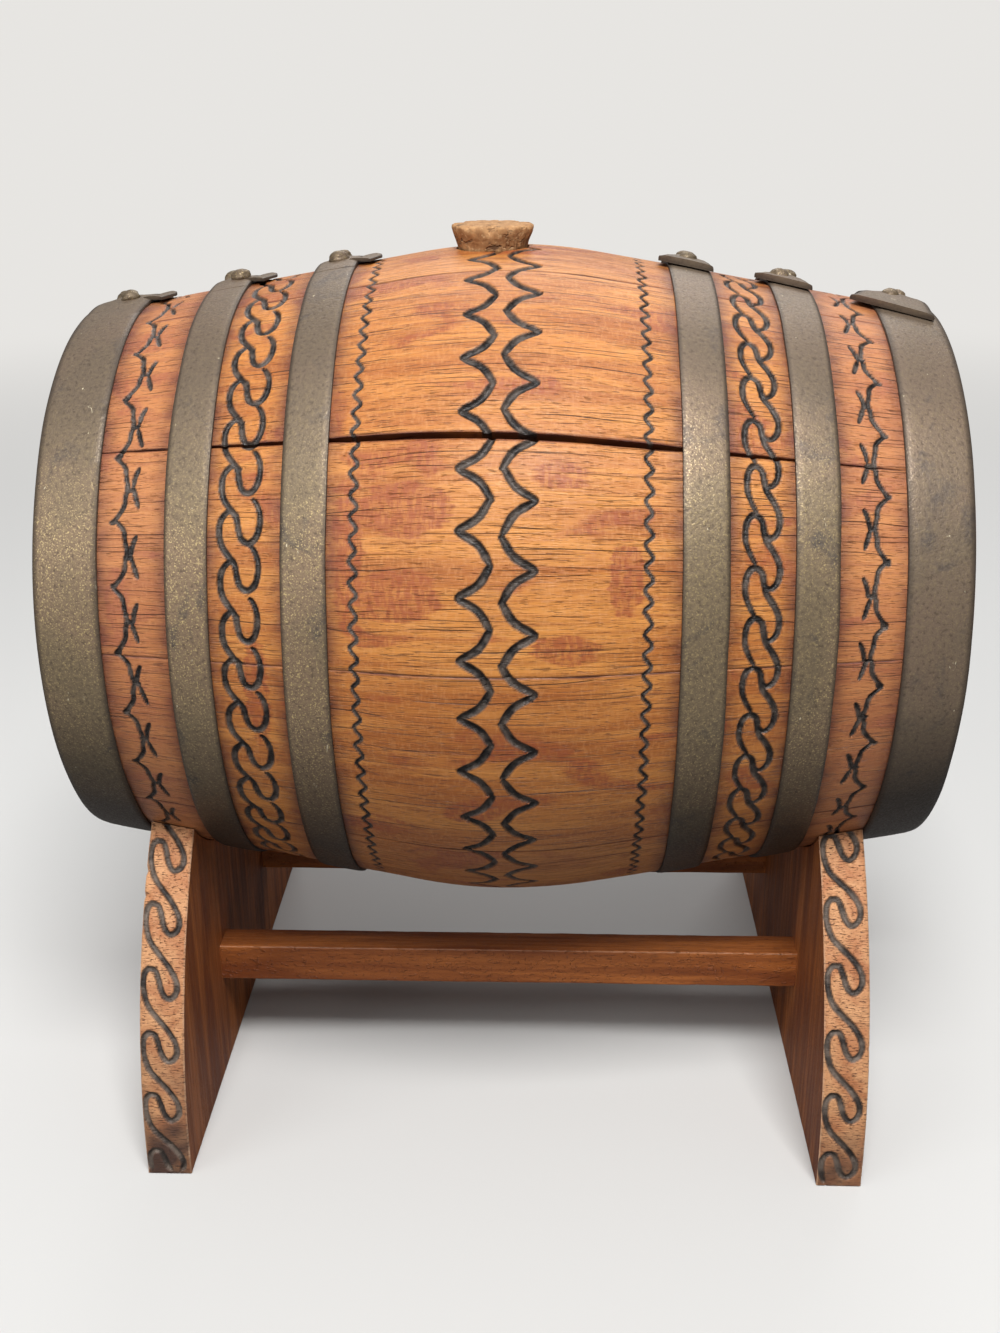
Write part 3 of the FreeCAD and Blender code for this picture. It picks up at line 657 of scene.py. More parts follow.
def stave_lift(index, share, theta):
    """How far a stave's skin stands off its true round, before the carving."""
    clear = 1 - unit(hoop_dirt_and_shade() * 2)
    points = around(COLUMNS, skin(COLUMNS), theta)
    swell = SWELL * wander(points[::6, ::3], 38, index) * clear[::3]
    lift = np.minimum(resize(swell, theta.shape), SWELL_LIMIT)
    seam_gap = np.minimum(share, 1 - share)[:, None] * STAVE_SWEEP * DEGREE * skin(COLUMNS)
    lift = lift - SEAM_DROP * fade(seam_gap, SEAM_REACH) ** 2
    window = unit(1 - (COLUMNS / LIP_HALF_LENGTH) ** 2) * clear
    if index == 0:
        lift = lift + LIP_RISE * fade(share, LIP_SHARE)[:, None] * window
    if index == LAST_STAVE:
        lift = lift - LIP_FALL * fade(1 - share, LIP_SHARE)[:, None] * window
    return lift - END_DROP * fade(HALF_LENGTH - np.abs(COLUMNS), END_REACH) ** 2


def make_stave(index, marks):
    """One stave, from joint index to the next, with carved skin, side faces, lining and ends."""
    low, high = joint_angle(index, COLUMNS), joint_angle(index + 1, COLUMNS)
    if index == 0:
        low = low + open_gap()
    if index == LAST_STAVE:
        high = high - open_gap()
    rows = int(STAVE_SWEEP * DEGREE * BILGE_RADIUS / FINE_STEP)
    edge = SEAM_STEPS / (DEGREE * BILGE_RADIUS) / STAVE_SWEEP
    share = np.concatenate([edge, np.linspace(edge[-1], 1 - edge[-1], rows)[1:-1], 1 - edge[::-1]])
    theta = low + share[:, None] * (high - low)
    cut, burn = carve(index, theta, marks)
    radius = skin(COLUMNS) + stave_lift(index, share, theta) - cut
    outer = around(COLUMNS, radius, theta)
    inner_share = np.linspace(1, 0, 41 if index == BUNG_STAVE else 13)
    inner_theta = low + inner_share[:, None] * (high - low)
    inner = around(COLUMNS, lining(COLUMNS), inner_theta)

    loop = np.concatenate([outer, inner])
    total, width = loop.shape[:2]
    plain = np.zeros(inner_theta.shape)
    data = {
        "burn": np.concatenate([burn, plain]).ravel(),
        "inside": np.concatenate([np.zeros(theta.shape), plain + 1]).ravel(),
        "tone": np.full(total * width, STAVE_TONES[index]),
        "stain": stave_stain_and_shade(share, theta, inner_theta),
        "blush": np.concatenate([stave_blush(theta), plain]).ravel(),
        "rose": np.tile(unit((np.abs(COLUMNS) - 68) / 18), total),
        "grain": stave_grain(index, theta, inner_theta, radius),
    }
    points, faces = loop.reshape(-1, 3), grid_faces(total, width, wrap=True)
    firsts = np.arange(total) * width
    ends = [firsts, (firsts + width - 1)[::-1]]
    if index == BUNG_STAVE:
        points, faces = open_bung_hole(points, faces)
    number = f"{index + 1:02d}"
    build(f"carved_stave_{number}", points, [faces, ends], WOOD, "cask", [f"stave_{number}"],
          data, 48)


def open_gap():
    """Half the open joint's width, in degrees, along the keg."""
    lens = np.clip(1 - (COLUMNS / OPEN_HALF_LENGTH) ** 2, 0.02, 1)
    return OPEN_WIDTH / 2 * lens / (DEGREE * skin(COLUMNS))


def resize(small, shape):
    """Spread a small grid of values over a larger one."""
    rows = np.linspace(0, small.shape[0] - 1, shape[0])
    columns = np.linspace(0, small.shape[1] - 1, shape[1])
    r0 = np.minimum(rows.astype(int), small.shape[0] - 2)
    c0 = np.minimum(columns.astype(int), small.shape[1] - 2)
    fr = (rows - r0)[:, None]
    fc = columns - c0
    a, b = small[r0][:, c0], small[r0][:, c0 + 1]
    c, d = small[r0 + 1][:, c0], small[r0 + 1][:, c0 + 1]
    return (a * (1 - fc) + b * fc) * (1 - fr) + (c * (1 - fc) + d * fc) * fr


def stave_blush(theta):
    """How red each point of a stave's skin is."""
    blush = np.zeros(theta.shape)
    for station, angle, reach, sweep, strength in BLUSHES:
        turn = (theta - angle + 180) % 360 - 180
        away = np.hypot((COLUMNS - station) / reach, turn / sweep)
        blush = np.maximum(blush, strength * unit(1.5 - away))
    return blush


def stave_stain_and_shade(share, theta, inner_theta):
    """How dark each point of a stave is: stained beside its joints, and beside the hoops dirt with painted
    shade.
    """
    edge = np.minimum(share, 1 - share)[:, None] * STAVE_SWEEP * 1.6
    seam = 0.95 * fade(edge, 0.7) * np.ones(theta.shape)
    stain = np.maximum(hoop_dirt_and_shade() * 0.8, seam)
    return np.concatenate([stain, np.full(inner_theta.shape, 0.3)]).ravel()


def stave_grain(index, theta, inner_theta, radius):
    """Wood places in millimetres: along the keg, across the stave, and out from its axis."""
    angles = np.concatenate([theta, inner_theta])
    across = angles * DEGREE * 88.0 + 517.0 * index
    along = COLUMNS + 371.0 * index + 0.0 * angles
    out = np.concatenate([radius, np.broadcast_to(lining(COLUMNS), inner_theta.shape)])
    return np.stack([along, across, out], axis=-1).reshape(-1, 3)


def open_bung_hole(points, faces):
    """Take the faces over the bung's hole away, and draw the edge of what stays onto its circle."""
    x = points[:, 0] / MM - MIDDLE - BUNG_STATION
    y = points[:, 1] / MM
    inside = np.hypot(x, y) < BUNG_HOLE_RADIUS
    kept = faces[~inside[faces].all(axis=1)]
    rim = np.unique(kept[inside[kept]])
    far = np.hypot(x[rim], y[rim])
    scale = BUNG_HOLE_RADIUS / np.maximum(far, 1)
    points[rim, 0] = (x[rim] * scale + BUNG_STATION + MIDDLE) * MM
    points[rim, 1] = y[rim] * scale * MM
    return points, kept


def make_hole_wall():
    """The bung hole's own wall, from the skin to the lining."""
    turns = np.radians(np.arange(0, 360, 3))
    rings = []
    for depth in (0.0, 0.3, 1.0):
        radius = BUNG_HOLE_RADIUS - 0.6 * depth + 0.02
        x = BUNG_STATION + radius * np.cos(turns)
        y = radius * np.sin(turns)
        top = np.sqrt(skin(x) ** 2 - y ** 2)
        low = np.sqrt(lining(x) ** 2 - y ** 2)
        z = AXIS_HEIGHT + top - 0.04 + (low - top) * depth
        rings.append(np.stack([(x + MIDDLE) * MM, y * MM, z * MM], axis=-1))
    loop = np.concatenate(rings)
    data = {"inside": np.ones(len(loop)), "stain": np.full(len(loop), 0.2), "grain": loop / MM}
    data.update({key: np.zeros(len(loop)) for key in ("burn", "tone", "rose", "blush")})
    faces = grid_faces(len(rings), len(turns), close=True)
    build("bung_hole_wall", loop, [faces], WOOD, "cask", (), data)


# Hoops

# A strip's section, from one lower edge round to the other: shares of its width and of its thickness.
STRIP_SECTION = np.array([(0.0, 0.0), (0.0, 0.45), (0.012, 0.8)]
                         + [(c, 1.0) for c in np.linspace(0, 1, 13)[1:-1] * 0.96 + 0.02]
                         + [(0.988, 0.8), (1.0, 0.45), (1.0, 0.0), (0.66, 0.0), (0.33, 0.0)])
STRIP_CROWN = 0.12
STRIP_WAVER = 0.22
STRIP_DENTS = 0.13
BULGE_HALF_WIDTH = 0.24
LAP_BULGE, LAP_BULGE_REACH = 0.75, 0.22
LAP_STEPS = 30
LAP_BACK = 111
RIVET_ANGLE = 95
# Where each right lap ends, how far its corner flares, its other corner and its slant.
LAP_ENDS = {"inner": (86.5, 2.8, 0.4, 2.0), "mid": (86.3, 3.8, 0.2, 3.0), "end": (80.5, 6.6, -2.2, 5.0)}
HOOPS = (("left", "end", -115.0, -98.2), ("left", "mid", -81.0, -70.0), ("left", "inner", -52.1, -40.7),
         ("right", "inner", 43.0, 54.4), ("right", "mid", 70.0, 81.0), ("right", "end", 97.4, 114.3))


def strip(angles, low, high, lift, thickness, closed, seed, skew=0.0, bulge=0.0):
    """A swept strip: edges at low and high stations and a lift off the skin for each angle.

    skew slants its ends, in degrees, and bulge raises its middle over the rivets.
    """
    across, height = STRIP_SECTION.T
    angles = np.asarray(angles, dtype=float)
    turns = np.radians(angles)
    low = np.broadcast_to(low, angles.shape) + STRIP_WAVER * ripple(np.cos(turns) * 40, seed, 9)
    high = np.broadcast_to(high, angles.shape) + STRIP_WAVER * ripple(np.sin(turns) * 40, seed + 5, 9)
    x = low[:, None] + across * (high - low)[:, None]
    hump = np.exp(-((across - 0.5) / BULGE_HALF_WIDTH) ** 2)
    base = skin(x) + np.reshape(bulge, (-1, 1)) * hump
    angles = angles[:, None] + np.reshape(skew, (-1, 1)) * (0.5 - across)
    bumps = STRIP_DENTS * wander(around(x, base, angles), 55, seed) * height
    crown = STRIP_CROWN * (1 - (2 * across - 1) ** 2) * (height > 0.9)
    lift = np.broadcast_to(lift, len(x))
    radius = base + lift[:, None] + (thickness * height + crown) + bumps
    points = around(x, radius, angles)
    rows, width = points.shape[:2]
    faces = [grid_faces(rows, width, wrap=closed, close=True)]
    if not closed:
        faces.append([np.arange(width), (np.arange(width) + (rows - 1) * width)[::-1]])
    fall = 0.35 * fade(np.minimum(across, 1 - across) * 11, 0.9) + 0.75 * (height < 0.9)
    high_up = np.broadcast_to(np.sin(np.radians(angles)), (rows, width)).ravel()
    data = {
        "edge": np.broadcast_to(fall, (rows, width)).ravel(),
        # Darker and with fewer painted glints toward the top of each strip.
        "dullness": 0.85 * unit((high_up - 0.45) / 0.35),
        # Painted shade: darker toward the bottom of each strip.
        "shade": unit((-high_up - 0.12) / 0.5),
    }
    return points.reshape(-1, 3), faces, data


def make_hoop(side, kind, low, high, seed):
    """One closed hoop, with the lap at its top."""
    points, faces, data = strip(np.arange(0, 360, 1.2), low, high, HOOP_PLAY, HOOP_THICKNESS, True, seed)
    if (side, kind) == ("right", "end"):
        # The right end hoop is dulled all round: darker, with fewer painted glints.
        data["dullness"] = np.maximum(data["dullness"], 0.7)
        # Its painted shade underneath is darker too.
        data["shade"] = unit(data["shade"] * 1.25)
    build(f"brass_{side}_{kind}", points, faces, BRASS, "cask", [f"hoop_{side}_{kind}"], data,
          55)
    make_lap(side, kind, low, high, seed)


def make_lap(side, kind, low, high, seed):
    """The top strip of the overlap. On the right its end faces the front and is flared."""
    second = HOOP_THICKNESS + HOOP_PLAY
    if side == "right":
        start, flare, shift, lean = LAP_ENDS[kind]
        t = np.linspace(0, 1, LAP_STEPS)
        angles = start + (LAP_BACK - start) * t
        near = fade(t, 0.5)
        lows, highs = low - flare * near ** 1.4, high + shift * near
        lift = second * unit((1 - t) / 0.35) + 0.5 * fade(t, 0.14)
        middle = (RIVET_ANGLE + 0.5 - start) / (LAP_BACK - start)
        thickness, skew = 1.6, lean * near
    else:
        angles = np.linspace(85, 108, LAP_STEPS)
        t = (angles - 85) / 23
        lows, highs = low - 0.4 * t, high + 0.4 * t
        lift = second * unit(t / 0.4) + 0.03
        middle, thickness, skew = 0.45, 0.95, 0.0
    bulge = LAP_BULGE * np.exp(-((t - middle) / LAP_BULGE_REACH) ** 2)
    points, faces, data = strip(angles, lows, highs, lift, thickness, False, seed + 31, skew, bulge)
    build(f"lap_{side}_{kind}", points, faces, BRASS, "cask", (), data, 50)
    if side == "left":
        angles = np.linspace(88.5, 99, 14)
        t = np.abs(angles - 93.7) / 5.3
        tip = high + 6.4 - 2.4 * t ** 2
        points, faces, data = strip(angles, high - 3.0, tip, 0.5 + 0.5 * t, 0.9, False, seed + 77, 5.0)
        build(f"tongue_{side}_{kind}", points, faces, BRASS, "cask", (), data, 50)


def lathe(name, profile, centre, axis, material, body, replaced, segments, rough=0.0, seed=0.0,
          edge=None, smooth=0, sharp=35):
    """A turned piece: profile gives (distance along the axis, radius) from one end to the other."""
    profile = smooth_line(profile, smooth) if smooth else np.array(profile, dtype=float)
    reach, radius = profile[:, 0], np.maximum(profile[:, 1], 0)
    axis = Vector(axis).normalized()
    side = axis.orthogonal().normalized()
    other = axis.cross(side)
    turns = np.radians(np.arange(segments) * 360 / segments)
    ring = np.cos(turns)[:, None] * np.array(side) + np.sin(turns)[:, None] * np.array(other)
    points = (np.array(centre)[None, None, :] + reach[:, None, None] * np.array(axis)
              + radius[:, None, None] * ring[None, :, :])
    if rough:
        push = rough * (wander(points, 0.35, seed) + 0.5 * wander(points, 1.1, seed + 9))
        points = points + push[..., None] * ring
    spots = points.reshape(-1, 3)
    along = (spots - np.array(centre)) @ np.array(axis)
    zero = np.zeros(len(spots))
    data = {"grain": np.stack([along, spots @ np.array(side), spots @ np.array(other)], axis=-1),
            "edge": edge(spots) if edge else zero, "stain": zero}
    faces = tube_faces(len(profile), segments)
    return build(name, spots * MM, faces, material, body, replaced, data, sharp)


RIVET_PROFILE = ((-1.2, 1.2), (-0.9, 2.2), (-0.2, 2.7), (0.5, 2.5), (1.2, 2.2), (1.75, 1.5), (2.05, 0.7),
                 (2.1, 0.05))
RIVET_SEAT = 2.3
RIVET_STAGGER = 3.6
RIVET_HALF_PITCH = 3


def make_rivets(side, kind, low, high):
    """The two rivets of a hoop, their heads standing on its lap."""
    facing = 1 if side == "right" else -1
    stagger = 0.0 if kind == "inner" else RIVET_STAGGER
    lean = facing * TAPER
    for index, step in enumerate((-1, 1)):
        x = (low + high) / 2 + facing * step * stagger / 2
        t = math.radians(RIVET_ANGLE + step * RIVET_HALF_PITCH)
        seat = float(skin(x)) + RIVET_SEAT
        normal = np.array([math.sin(lean), -math.cos(lean) * math.cos(t), math.cos(lean) * math.sin(t)])
        base = np.array([x + MIDDLE, -seat * math.cos(t), AXIS_HEIGHT + seat * math.sin(t)])
        lathe(f"rivet_{side}_{kind}_{index + 1}", RIVET_PROFILE, base, normal, BRASS, "cask",
              [f"rivets_{side}_{kind}"] if index == 0 else (), 40, 0.5,
              3.1 * index + low, edge=lambda s: np.full(len(s), 0.5), smooth=3, sharp=80)


# The cork, in heights above the keg's axis, and the chips in its rim: angle, half width and depth.
CORK_TOP = BILGE_RADIUS + 5.8
CORK_SIDE = ((72.0, 0.02), (72.0, 7.6), (72.6, 8.2), (91.5, 9.35), (93.4, 9.8), (95.6, 10.7), (96.9, 11.1),
             (CORK_TOP - 0.45, 11.05), (CORK_TOP - 0.1, 10.5))
CORK_CHIPS = ((-92, 11, 1.9), (-62, 7, 0.9), (-128, 6, 0.7), (35, 9, 0.9), (150, 8, 0.8))


def make_cork():
    """The bung: a cut cork with a crumbled rim at the front."""
    base = (BUNG_STATION + MIDDLE, 0, AXIS_HEIGHT)
    top = [(CORK_TOP + 0.02 * k, 10.1 - 1.2 * k) for k in range(1, 8)] + [(CORK_TOP, 0.05)]
    piece = lathe("cork_bung", [*CORK_SIDE, *top], base, (0, 0, 1), CORK, "bung", ["bung"], 120,
                  0.22, 4.0, edge=lambda s: unit((s[:, 2] - AXIS_HEIGHT - 94.5) / 2), sharp=60)
    mesh = piece.data
    spots = np.empty(len(mesh.vertices) * 3)
    mesh.vertices.foreach_get("co", spots)
    local = spots.reshape(-1, 3) / MM - np.array(base)
    turn = np.degrees(np.arctan2(local[:, 1], local[:, 0]))
    near_rim = unit((local[:, 2] - 94.6) / 1.6) * unit((np.hypot(local[:, 0], local[:, 1]) - 7.5) / 3)
    fall = 0.75 * unit(ripple(turn, 21, 6.5))
    for centre, width, depth in CORK_CHIPS:
        away = (turn - centre + 180) % 360 - 180
        fall = np.maximum(fall, depth * fade(np.abs(away), width) ** 0.7)
    local[:, 2] -= near_rim * fall * 1.2
    local[:, :2] *= (1 - near_rim * fall * 0.05)[:, None]
    mesh.vertices.foreach_set("co", ((local + np.array(base)) * MM).ravel())
    mesh.update()


# Heads

HEAD_OUTSIDE = 107.5
# Layers of a head from outside in: station, radius and the gap at each joint.
HEAD_LAYERS = ((107.5, 65.4, 0.45), (107.1, 65.9, 0.06), (105.3, 66.3, 0.02), (105.2, 69.6, 0.02),
               (101.9, 70.1, 0.02), (101.8, 67.0, 0.02), (99.6, 67.0, 0.02), (99.5, 66.6, 0.3))
BOARD_HALF = 23.0


def head_outline(which, radius, gap):
    """A board's outline across the keg: where it meets the circle and the joints."""
    if which == "middle":
        y = np.linspace(-BOARD_HALF + gap, BOARD_HALF - gap, 24)
        z = np.sqrt(radius ** 2 - y ** 2)
        return np.concatenate([np.stack([y, z], 1), np.stack([y[::-1], -z], 1)])
    half = math.acos((BOARD_HALF + gap) / radius)
    turns = np.linspace(-half, half, 60)
    side = -1 if which == "front" else 1
    return np.stack([side * radius * np.cos(turns), radius * np.sin(turns)], 1)


def make_head(side):
    """A head: three upright boards side by side, with a tongue round their rim."""
    facing = 1 if side == "right" else -1
    for order, which in enumerate(("front", "middle", "back")):
        loops = []
        for station, radius, gap in HEAD_LAYERS:
            outline = head_outline(which, radius, gap)
            x = np.full(len(outline), facing * station + MIDDLE)
            loops.append(np.stack([x, outline[:, 0], outline[:, 1] + AXIS_HEIGHT], 1))
        spots = np.concatenate(loops)
        shift = 83.0 * order + (400 if side == "left" else 0)
        rim = np.hypot(spots[:, 1], spots[:, 2] - AXIS_HEIGHT)
        data = {"grain": np.stack([spots[:, 2], spots[:, 1] + shift, spots[:, 0]], 1),
                "stain": unit((rim - 62) / 4) * 0.6, "edge": np.zeros(len(spots))}
        build(f"head_board_{side}_{which}", spots * MM, tube_faces(len(loops), len(loops[0])), HEAD, "cask",
              [f"head_{side}_{which}"], data, 30)


# Tap

TAP_HEIGHT = AXIS_HEIGHT - 53.04
# The turned body, in distances out from the head's face.
TAP_PROFILE = ((-10.9, 4.4), (-0.2, 5.5), (-0.1, 7.6), (0.3, 8.0), (1.5, 8.0), (1.8, 7.6), (2.6, 6.7),
               (3.4, 6.7), (4.6, 7.4), (6.5, 7.9), (9, 8.1), (11.5, 7.9), (13.2, 7.4), (14.2, 5.9),
               (14.9, 4.5), (16.3, 4.4), (17.2, 4.8), (18.3, 5.6), (20.5, 5.7), (22.9, 5.5), (24.5, 4.7),
               (25.8, 3.2), (26.4, 1.4), (26.5, 0.05))
KEY_PROFILE = ((-9.5, 0.05), (-9.5, 2.8), (-9.2, 3.05), (7.6, 3.75), (9.2, 3.85), (9.4, 4.8), (9.7, 5.1),
               (10.9, 5.1), (11.2, 4.8), (11.3, 0.05))
KEY_OUT = 9
OUTLET_STATION = 129
OUTLET_RADIUS = 1.6
THUMB_BAR_HALF = (2.2, 7.5, 4.25)
BAR_STEP = 2.0


def make_tap():
    """The turned tap with its outlet bored from below, and its key."""
    profile = [(HEAD_OUTSIDE + out, radius) for out, radius in TAP_PROFILE]
    body = lathe("turned_tap", profile, (MIDDLE, 0, TAP_HEIGHT), (1, 0, 0), TAP, "cask", ["tap_body"],
                 96, smooth=3, sharp=40)
    turns = np.radians(np.arange(0, 360, 9))
    xs = OUTLET_RADIUS * np.cos(turns) + OUTLET_STATION + MIDDLE
    ys = OUTLET_RADIUS * np.sin(turns)
    count = len(turns)
    points = [(x * MM, y * MM, z * MM) for z in (TAP_HEIGHT - 9, TAP_HEIGHT) for x, y in zip(xs, ys)]
    sides = [(i, (i + 1) % count, (i + 1) % count + count, i + count) for i in range(count)]
    caps = [tuple(range(count))[::-1], tuple(range(count, 2 * count))]
    cutter_mesh = bpy.data.meshes.new("outlet_cutter")
    cutter_mesh.from_pydata(points, [], sides + caps)
    cutter = add_object("outlet_cutter", cutter_mesh)
    drill = body.modifiers.new("outlet", "BOOLEAN")
    drill.operation = "DIFFERENCE"
    drill.solver = "EXACT"
    drill.object = cutter
    view = bpy.context.evaluated_depsgraph_get()
    drilled = bpy.data.meshes.new_from_object(body.evaluated_get(view))
    body.modifiers.clear()
    body.data = drilled
    bpy.data.objects.remove(cutter)

    key_x = HEAD_OUTSIDE + KEY_OUT + MIDDLE
    lathe("key_stem", KEY_PROFILE, (key_x, 0, TAP_HEIGHT), (0, 0, 1), TAP, "key", ["tap_key"],
          64, sharp=30)
    bar_height = TAP_HEIGHT + 10.9 + THUMB_BAR_HALF[2]
    rounded_bar("key_thumb_bar", (key_x, 0, bar_height), THUMB_BAR_HALF, 1.9, TAP, "key", (),
                0.1, (2, 0, 1))


def rounded_bar(name, centre, half, soft, material, body, replaced, rough, order=(0, 1, 2)):
    """A block with rounded edges and a slightly uneven skin. order gives the grain's axes."""
    limits = np.array(half) - soft
    bend = soft * np.linspace(0, 1, 5)[1:]
    lines = []
    for limit in limits:
        flat = np.linspace(-limit, limit, max(2, int(2 * limit / BAR_STEP) + 1))
        lines.append(np.concatenate([-(limit + bend)[::-1], flat, limit + bend]))
    points, faces, count = [], [], 0
    for axis in range(3):
        u, v = (axis + 1) % 3, (axis + 2) % 3
        for sign in (-1, 1):
            a, b = np.meshgrid(lines[u], lines[v], indexing="ij")
            patch = np.empty(a.shape + (3,))
            patch[..., axis], patch[..., u], patch[..., v] = sign * half[axis], a, b
            quads = grid_faces(*a.shape, start=count)
            faces.append(quads if sign > 0 else quads[:, ::-1])
            points.append(patch.reshape(-1, 3))
            count += a.size
    points = np.concatenate(points)
    inner = np.clip(points, -limits, limits)
    away = points - inner
    points = inner + soft * away / np.maximum(np.linalg.norm(away, axis=1, keepdims=True), 1e-6)
    points, keep = np.unique(np.round(points, 4), axis=0, return_inverse=True)
    faces = keep.ravel()[np.concatenate(faces)]
    normal = points - np.clip(points, -limits, limits)
    normal /= np.maximum(np.linalg.norm(normal, axis=1, keepdims=True), 1e-6)
    spots = points + np.array(centre)
    spots = spots + normal * rough * (wander(spots, 0.12, 2.0) + 0.5 * wander(spots, 0.6, 5.0))[:, None]
    grain = spots[:, order]
    worn = 0.22 * (np.abs(normal) < 0.85).all(axis=1)
    data = {"grain": grain, "face": grain, "worn": worn}
    data.update({key: np.zeros(len(spots)) for key in ("burn", "endgrain", "edge", "stain")})
    return build(name, spots * MM, [faces], material, body, replaced, data, 60)


# Rack

BOARD_INSIDE = 85.3
BOARD_THICKNESS = 12.0
FOOT_HALF = 90.0
FOOT_HEIGHT = 5.3
EDGE_RADIUS = 115.6
CRADLE_PLAY = 0.3
STRETCHER_OUT, STRETCHER_HEIGHT = 33.5, 34.3
STRETCHER_HALF = (BOARD_INSIDE + 3.9, 5.0, 5.75)
EDGE_POINTS = 300
EDGE_ROUND = 0.45
# One scroll: the share of the board's thickness and the share of the pitch, going down.
SCROLL = ((0.20, 0.0), (0.10, 0.10), (0.09, 0.33), (0.20, 0.58), (0.41, 0.76), (0.62, 0.92), (0.79, 1.10),
          (0.85, 1.26), (0.78, 1.39), (0.63, 1.44), (0.50, 1.33), (0.42, 1.14), (0.34, 1.02), (0.20, 1.0))
SCROLL_PITCH = 17.4
SCROLL_HALF_WIDTH = 0.8
SCROLL_DEPTH = 0.9
SCROLL_TOP = {"left": 94.7, "right": 97.4}
# How far up each board's front edge the foot's stain reaches, and how strong it is.
FOOT_STAINS = {"left": (44, 1.5), "right": (24, 1.0)}
# Where a corner is broken off: the distance up the edge, half its length and its depth.
CHIPS = {"left": ((86, 1.6, 1.5), (79, 1.4, 1.2)), "right": ((41, 1.2, 0.5),)}


def edge_end(radius):
    """How far round the front edge's arc the cradle cuts it off."""
    across, rise = EDGE_RADIUS - FOOT_HALF, AXIS_HEIGHT - FOOT_HEIGHT
    gap = math.hypot(across, rise)
    lean = math.acos((gap ** 2 + EDGE_RADIUS ** 2 - radius ** 2) / (2 * gap * EDGE_RADIUS))
    return math.atan2(rise, across) - lean


def board_loop(radius):
    """A board's outline at one layer, in parts: front edge up, cradle, back edge down and sole."""
    length = FOOT_HEIGHT + EDGE_RADIUS * edge_end(radius)
    s = np.linspace(0, 1, EDGE_POINTS) * length
    turn = np.maximum(s - FOOT_HEIGHT, 0) / EDGE_RADIUS
    y = -(FOOT_HALF - EDGE_RADIUS + EDGE_RADIUS * np.cos(turn))
    z = np.where(s < FOOT_HEIGHT, s, FOOT_HEIGHT + EDGE_RADIUS * np.sin(turn))
    front = np.stack([y, z], 1)
    start, stop = (math.atan2(z[-1] - AXIS_HEIGHT, end) for end in (y[-1], -y[-1]))
    arc = np.linspace(start, stop, 72)[1:-1]
    cradle = np.stack([radius * np.cos(arc), AXIS_HEIGHT + radius * np.sin(arc)], 1)
    back = front[::-1] * np.array([-1, 1])
    sole = np.stack([np.linspace(FOOT_HALF, -FOOT_HALF, 60)[1:-1], np.zeros(58)], 1)
    normal = np.stack([-np.cos(turn), np.sin(turn)], 1)
    return front, cradle, back, sole, normal, s


def scroll_marks(side):
    """The running scroll's strokes down one edge. The sixth is cut short near the foot."""
    marks = []
    top = SCROLL_TOP[side]
    for k in range(-1, 7):
        points = [((u - 0.01) * BOARD_THICKNESS, top - SCROLL_PITCH * (k + v)) for u, v in SCROLL]
        if k == 5:
            points = points[:10]
        xs, ys, half, depth = stroke(points, SCROLL_HALF_WIDTH, SCROLL_DEPTH, 4, 0.95)
        marks.append((xs, ys, half * np.clip(ys - 0.6, 0.05, 1), depth))
    return marks


def board_grain(points, facing):
    """Wood places of a board, whose grain stands a little aslant."""
    return np.stack([points[:, 2] + 0.25 * points[:, 1], points[:, 1] + 230 * facing, points[:, 0]], 1)


